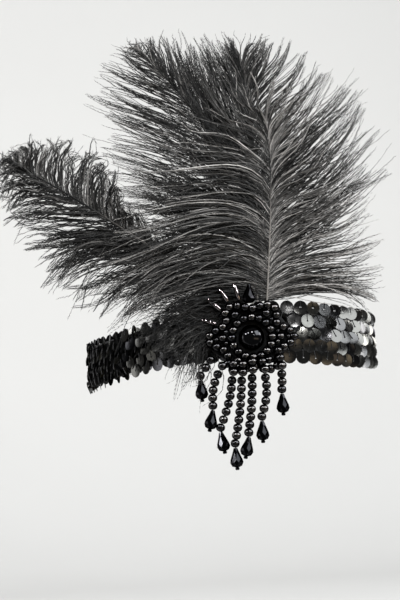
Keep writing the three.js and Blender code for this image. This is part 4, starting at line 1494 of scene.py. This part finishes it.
def plume_guide(name, plume, settings, seed):
    """A mesh of the shaft's line and all barb lines, which carry thickness, place along, number, and a tone
    that is the barbs' painted highlight.
    """
    random = np.random.default_rng(seed)
    sides = [
        barb_lines(plume, side, sign, settings.barbs_a_side, settings, random)
        for side, sign in (("left", -1), ("right", 1))
    ]
    if "fluff" in plume:
        sides.append(barb_lines(plume["fluff"], "right", 1, settings.fluff_barbs, settings, random))
    lines, tone = (np.concatenate(parts) for parts in zip(*sides))
    count, points = lines.shape[:2]
    share = np.linspace(0, 1, points)
    stout = settings.barb_radius * random.uniform(*BARB_STOUT, count)
    thickness = stout[:, None] * np.interp(share, TAPER_AT, TAPER)
    shaft, _ = curve_point(plume["shaft"], np.linspace(0, 1, SHAFT_STEPS))
    shaft = np.concatenate([[plume["foot"]], shaft])
    shaft_share = np.linspace(0, 1, len(shaft))
    shaft_thick = (QUILL_RADIUS + (SHAFT_TIP_RADIUS - QUILL_RADIUS) * shaft_share) * MM
    places = np.concatenate([lines.reshape(-1, 3), shaft]) * MM
    first = np.arange(count * points).reshape(count, points)
    links = np.stack([first[:, :-1].ravel(), first[:, 1:].ravel()], 1).tolist()
    links += [(k, k + 1) for k in range(count * points, len(places) - 1)]
    mesh = bpy.data.meshes.new(f"{name}_lines")
    mesh.from_pydata(places.tolist(), links, [])
    strips = count + 1
    values = {
        "thickness": np.concatenate([thickness.ravel(), shaft_thick]),
        "along": np.concatenate([np.tile(share, count), shaft_share]),
        "strip": np.concatenate([np.repeat(np.arange(count), points), np.full(len(shaft), count)]) / strips,
        "shaft": np.concatenate([np.zeros(count * points), np.ones(len(shaft))]),
        "tone": np.concatenate([np.repeat(tone, points), np.ones(len(shaft))]),
    }
    for key, value in values.items():
        mesh.attributes.new(key, "FLOAT", "POINT").data.foreach_set("value", value.astype(np.float32))
    length = np.linalg.norm(np.diff(lines, axis=1), axis=2).sum() * MM
    return mesh, strips, length / settings.barbules


class HEADBAND_OT_plumes(bpy.types.Operator):
    """Make the four plumes, each with a shaft, clumped barbs and fine barbules"""

    bl_idname = "headband.plumes"
    bl_label = "Plumes"

    def execute(self, context):
        settings = context.scene.headband_plumes
        for k, (node, plume) in enumerate(PLUMES.items()):
            guide, strips, spacing = plume_guide(node, plume, settings, settings.seed + k)
            values = {
                "Barbule Radius": settings.barbule_radius,
                "Barbule Length": settings.barbule_length,
                "Barbule Spacing": spacing,
                "Barbule Lean": settings.barbule_lean,
                "Strip Height": STRIP_FILL / strips,
                "Seed": settings.seed + 10 * k,
                "Finish": finish_named("black_feather"),
            }
            place_piece(grow(f"barbs_of_{node}", guide, "barbs", values), node)
        return {"FINISHED"}


# Stage

PICTURE = (400, 600)
MEDALLION_PIXEL = (257, 335)
MEDALLION_POINT = Vector((0.0, -0.106, 0.0))
SENSOR = 36.0
# Floor in metres: half its width, its front edge, where it bends up and how wide, and the backdrop's top
FLOOR_HALF = 2.5
FLOOR_FRONT = -0.18
FLOOR_BACK = 0.75
FLOOR_BEND = 0.5
FLOOR_TOP = 2.2
BEND_STEPS = 12
# Lights: name, place, size, power, colour and the point it faces
WHITE = (1.0, 1.0, 1.0)
COOL = (0.94, 0.98, 1.0)
WARM = (1.0, 0.8, 0.55)
FRONT = (0.0, -0.08, 0.04)
BACKDROP = (-0.3, 1.2, 0.4)
LIGHTS = (
    ("window_left", (-1.1, -0.7, 0.65), (0.12, 0.2), 9.0, WHITE, FRONT),
    ("pane_left", (-0.7, -1.0, 0.8), (0.11, 0.16), 8.0, WHITE, FRONT),
    ("window_middle", (0.0, -1.15, 0.95), (0.12, 0.18), 10.0, WHITE, FRONT),
    ("lamp_front", (0.25, -1.3, 0.45), (0.07, 0.07), 3.0, WHITE, FRONT),
    ("side_right", (0.95, -0.95, 0.8), (0.9, 0.9), 32.0, COOL, FRONT),
    ("window_right", (1.35, -0.5, 0.55), (0.3, 0.45), 12.0, WHITE, FRONT),
    ("wall_left", (-1.25, 0.0, 0.35), (0.45, 0.9), 7.5, WHITE, FRONT),
    ("room_low", (0.7, -1.2, -0.3), (1.0, 0.3), 2.0, WARM, FRONT),
    ("backdrop_left", (-0.9, 0.35, 1.4), (0.8, 0.8), 6.0, WHITE, BACKDROP),
)
SURROUND = (0.92, 0.94, 0.96, 1.0)
SURROUND_STRENGTH = 0.22


def add_camera(settings):
    """The camera that sees the medallion at its place in the picture."""
    a, e, r = settings.azimuth, settings.elevation, settings.roll
    back = Vector((math.sin(a) * math.cos(e), -math.cos(a) * math.cos(e), math.sin(e)))
    level = Vector((math.cos(a), math.sin(a), 0.0))
    upright = back.cross(level)
    right = math.cos(r) * level - math.sin(r) * upright
    up = math.sin(r) * level + math.cos(r) * upright
    pixels = settings.lens * max(PICTURE) / SENSOR
    aside = (MEDALLION_PIXEL[0] - PICTURE[0] / 2) / pixels * settings.distance
    above = (PICTURE[1] / 2 - MEDALLION_PIXEL[1]) / pixels * settings.distance
    data = bpy.data.cameras.new("camera")
    data.sensor_width = SENSOR
    data.lens = settings.lens
    camera = bpy.data.objects.new("camera", data)
    place = MEDALLION_POINT - right * aside - up * above + back * settings.distance
    turn = Matrix((right, up, back)).transposed().to_4x4()
    camera.matrix_world = Matrix.Translation(place) @ turn
    bpy.context.scene.collection.objects.link(camera)
    bpy.context.scene.camera = camera


def add_floor(settings):
    """A floor that sweeps up into a backdrop."""
    level = settings.floor_height
    profile = [(FLOOR_FRONT, level), (FLOOR_BACK, level)]
    for k in range(1, BEND_STEPS + 1):
        turn = 0.5 * math.pi * k / BEND_STEPS
        profile.append((FLOOR_BACK + FLOOR_BEND * math.sin(turn), level + FLOOR_BEND * (1 - math.cos(turn))))
    profile.append((FLOOR_BACK + FLOOR_BEND, FLOOR_TOP))
    points = [(x, y, z) for y, z in profile for x in (-FLOOR_HALF, FLOOR_HALF)]
    faces = [[2 * k, 2 * k + 1, 2 * k + 3, 2 * k + 2] for k in range(len(profile) - 1)]
    mesh = bpy.data.meshes.new("floor")
    mesh.from_pydata(points, [], faces)
    mesh.shade_smooth()
    link_piece("floor", mesh, "pale_paper")


def add_lights():
    """Soft panels round the headband and a dim pale surround."""
    for name, place, size, power, colour, aim in LIGHTS:
        data = bpy.data.lights.new(name, "AREA")
        data.shape = "RECTANGLE"
        data.size, data.size_y = size
        data.energy = power
        data.color = colour
        lamp = bpy.data.objects.new(name, data)
        lamp.location = place
        lamp.rotation_euler = (Vector(aim) - lamp.location).to_track_quat("-Z", "Y").to_euler()
        bpy.context.scene.collection.objects.link(lamp)
    world = bpy.data.worlds.new("surround")
    world.use_nodes = True
    shade = world.node_tree.nodes["Background"]
    shade.inputs["Color"].default_value = SURROUND
    shade.inputs["Strength"].default_value = SURROUND_STRENGTH
    bpy.context.scene.world = world


class HEADBAND_OT_stage(bpy.types.Operator):
    """Make the camera, the pale floor and the lights"""

    bl_idname = "headband.stage"
    bl_label = "Stage"

    def execute(self, context):
        settings = context.scene.headband_stage
        add_camera(settings)
        add_floor(settings)
        add_lights()
        context.scene.view_settings.view_transform = "Standard"
        return {"FINISHED"}


class HEADBAND_PT_panel(bpy.types.Panel):
    """Lists the pieces of the headband"""

    bl_idname = "HEADBAND_PT_panel"
    bl_label = "Flapper Headband"
    bl_space_type = "VIEW_3D"
    bl_region_type = "UI"
    bl_category = "Headband"

    def draw(self, context):
        for operator in OPERATORS:
            self.layout.operator(operator.bl_idname)
        for key in SETTINGS:
            group = getattr(context.scene, key)
            box = self.layout.box()
            for name in group.__annotations__:
                box.prop(group, name)


OPERATORS = (
    HEADBAND_OT_band,
    HEADBAND_OT_medallion,
    HEADBAND_OT_strands,
    HEADBAND_OT_plumes,
    HEADBAND_OT_stage,
)
SETTINGS = {
    "headband_band": BandSettings,
    "headband_beads": BeadSettings,
    "headband_plumes": PlumeSettings,
    "headband_stage": StageSettings,
}


def register():
    """Registers the settings, operators and panel."""
    for key, group in SETTINGS.items():
        bpy.utils.register_class(group)
        setattr(bpy.types.Scene, key, PointerProperty(type=group))
    for cls in (*OPERATORS, HEADBAND_PT_panel):
        bpy.utils.register_class(cls)


def unregister():
    """Removes what register added."""
    for cls in (HEADBAND_PT_panel, *reversed(OPERATORS)):
        bpy.utils.unregister_class(cls)
    for key, group in reversed(SETTINGS.items()):
        delattr(bpy.types.Scene, key)
        bpy.utils.unregister_class(group)


def main():
    """Makes every piece and the stage."""
    register()
    bpy.ops.headband.band()
    bpy.ops.headband.medallion()
    bpy.ops.headband.strands()
    bpy.ops.headband.plumes()
    bpy.ops.headband.stage()


if __name__ == "__main__":
    main()
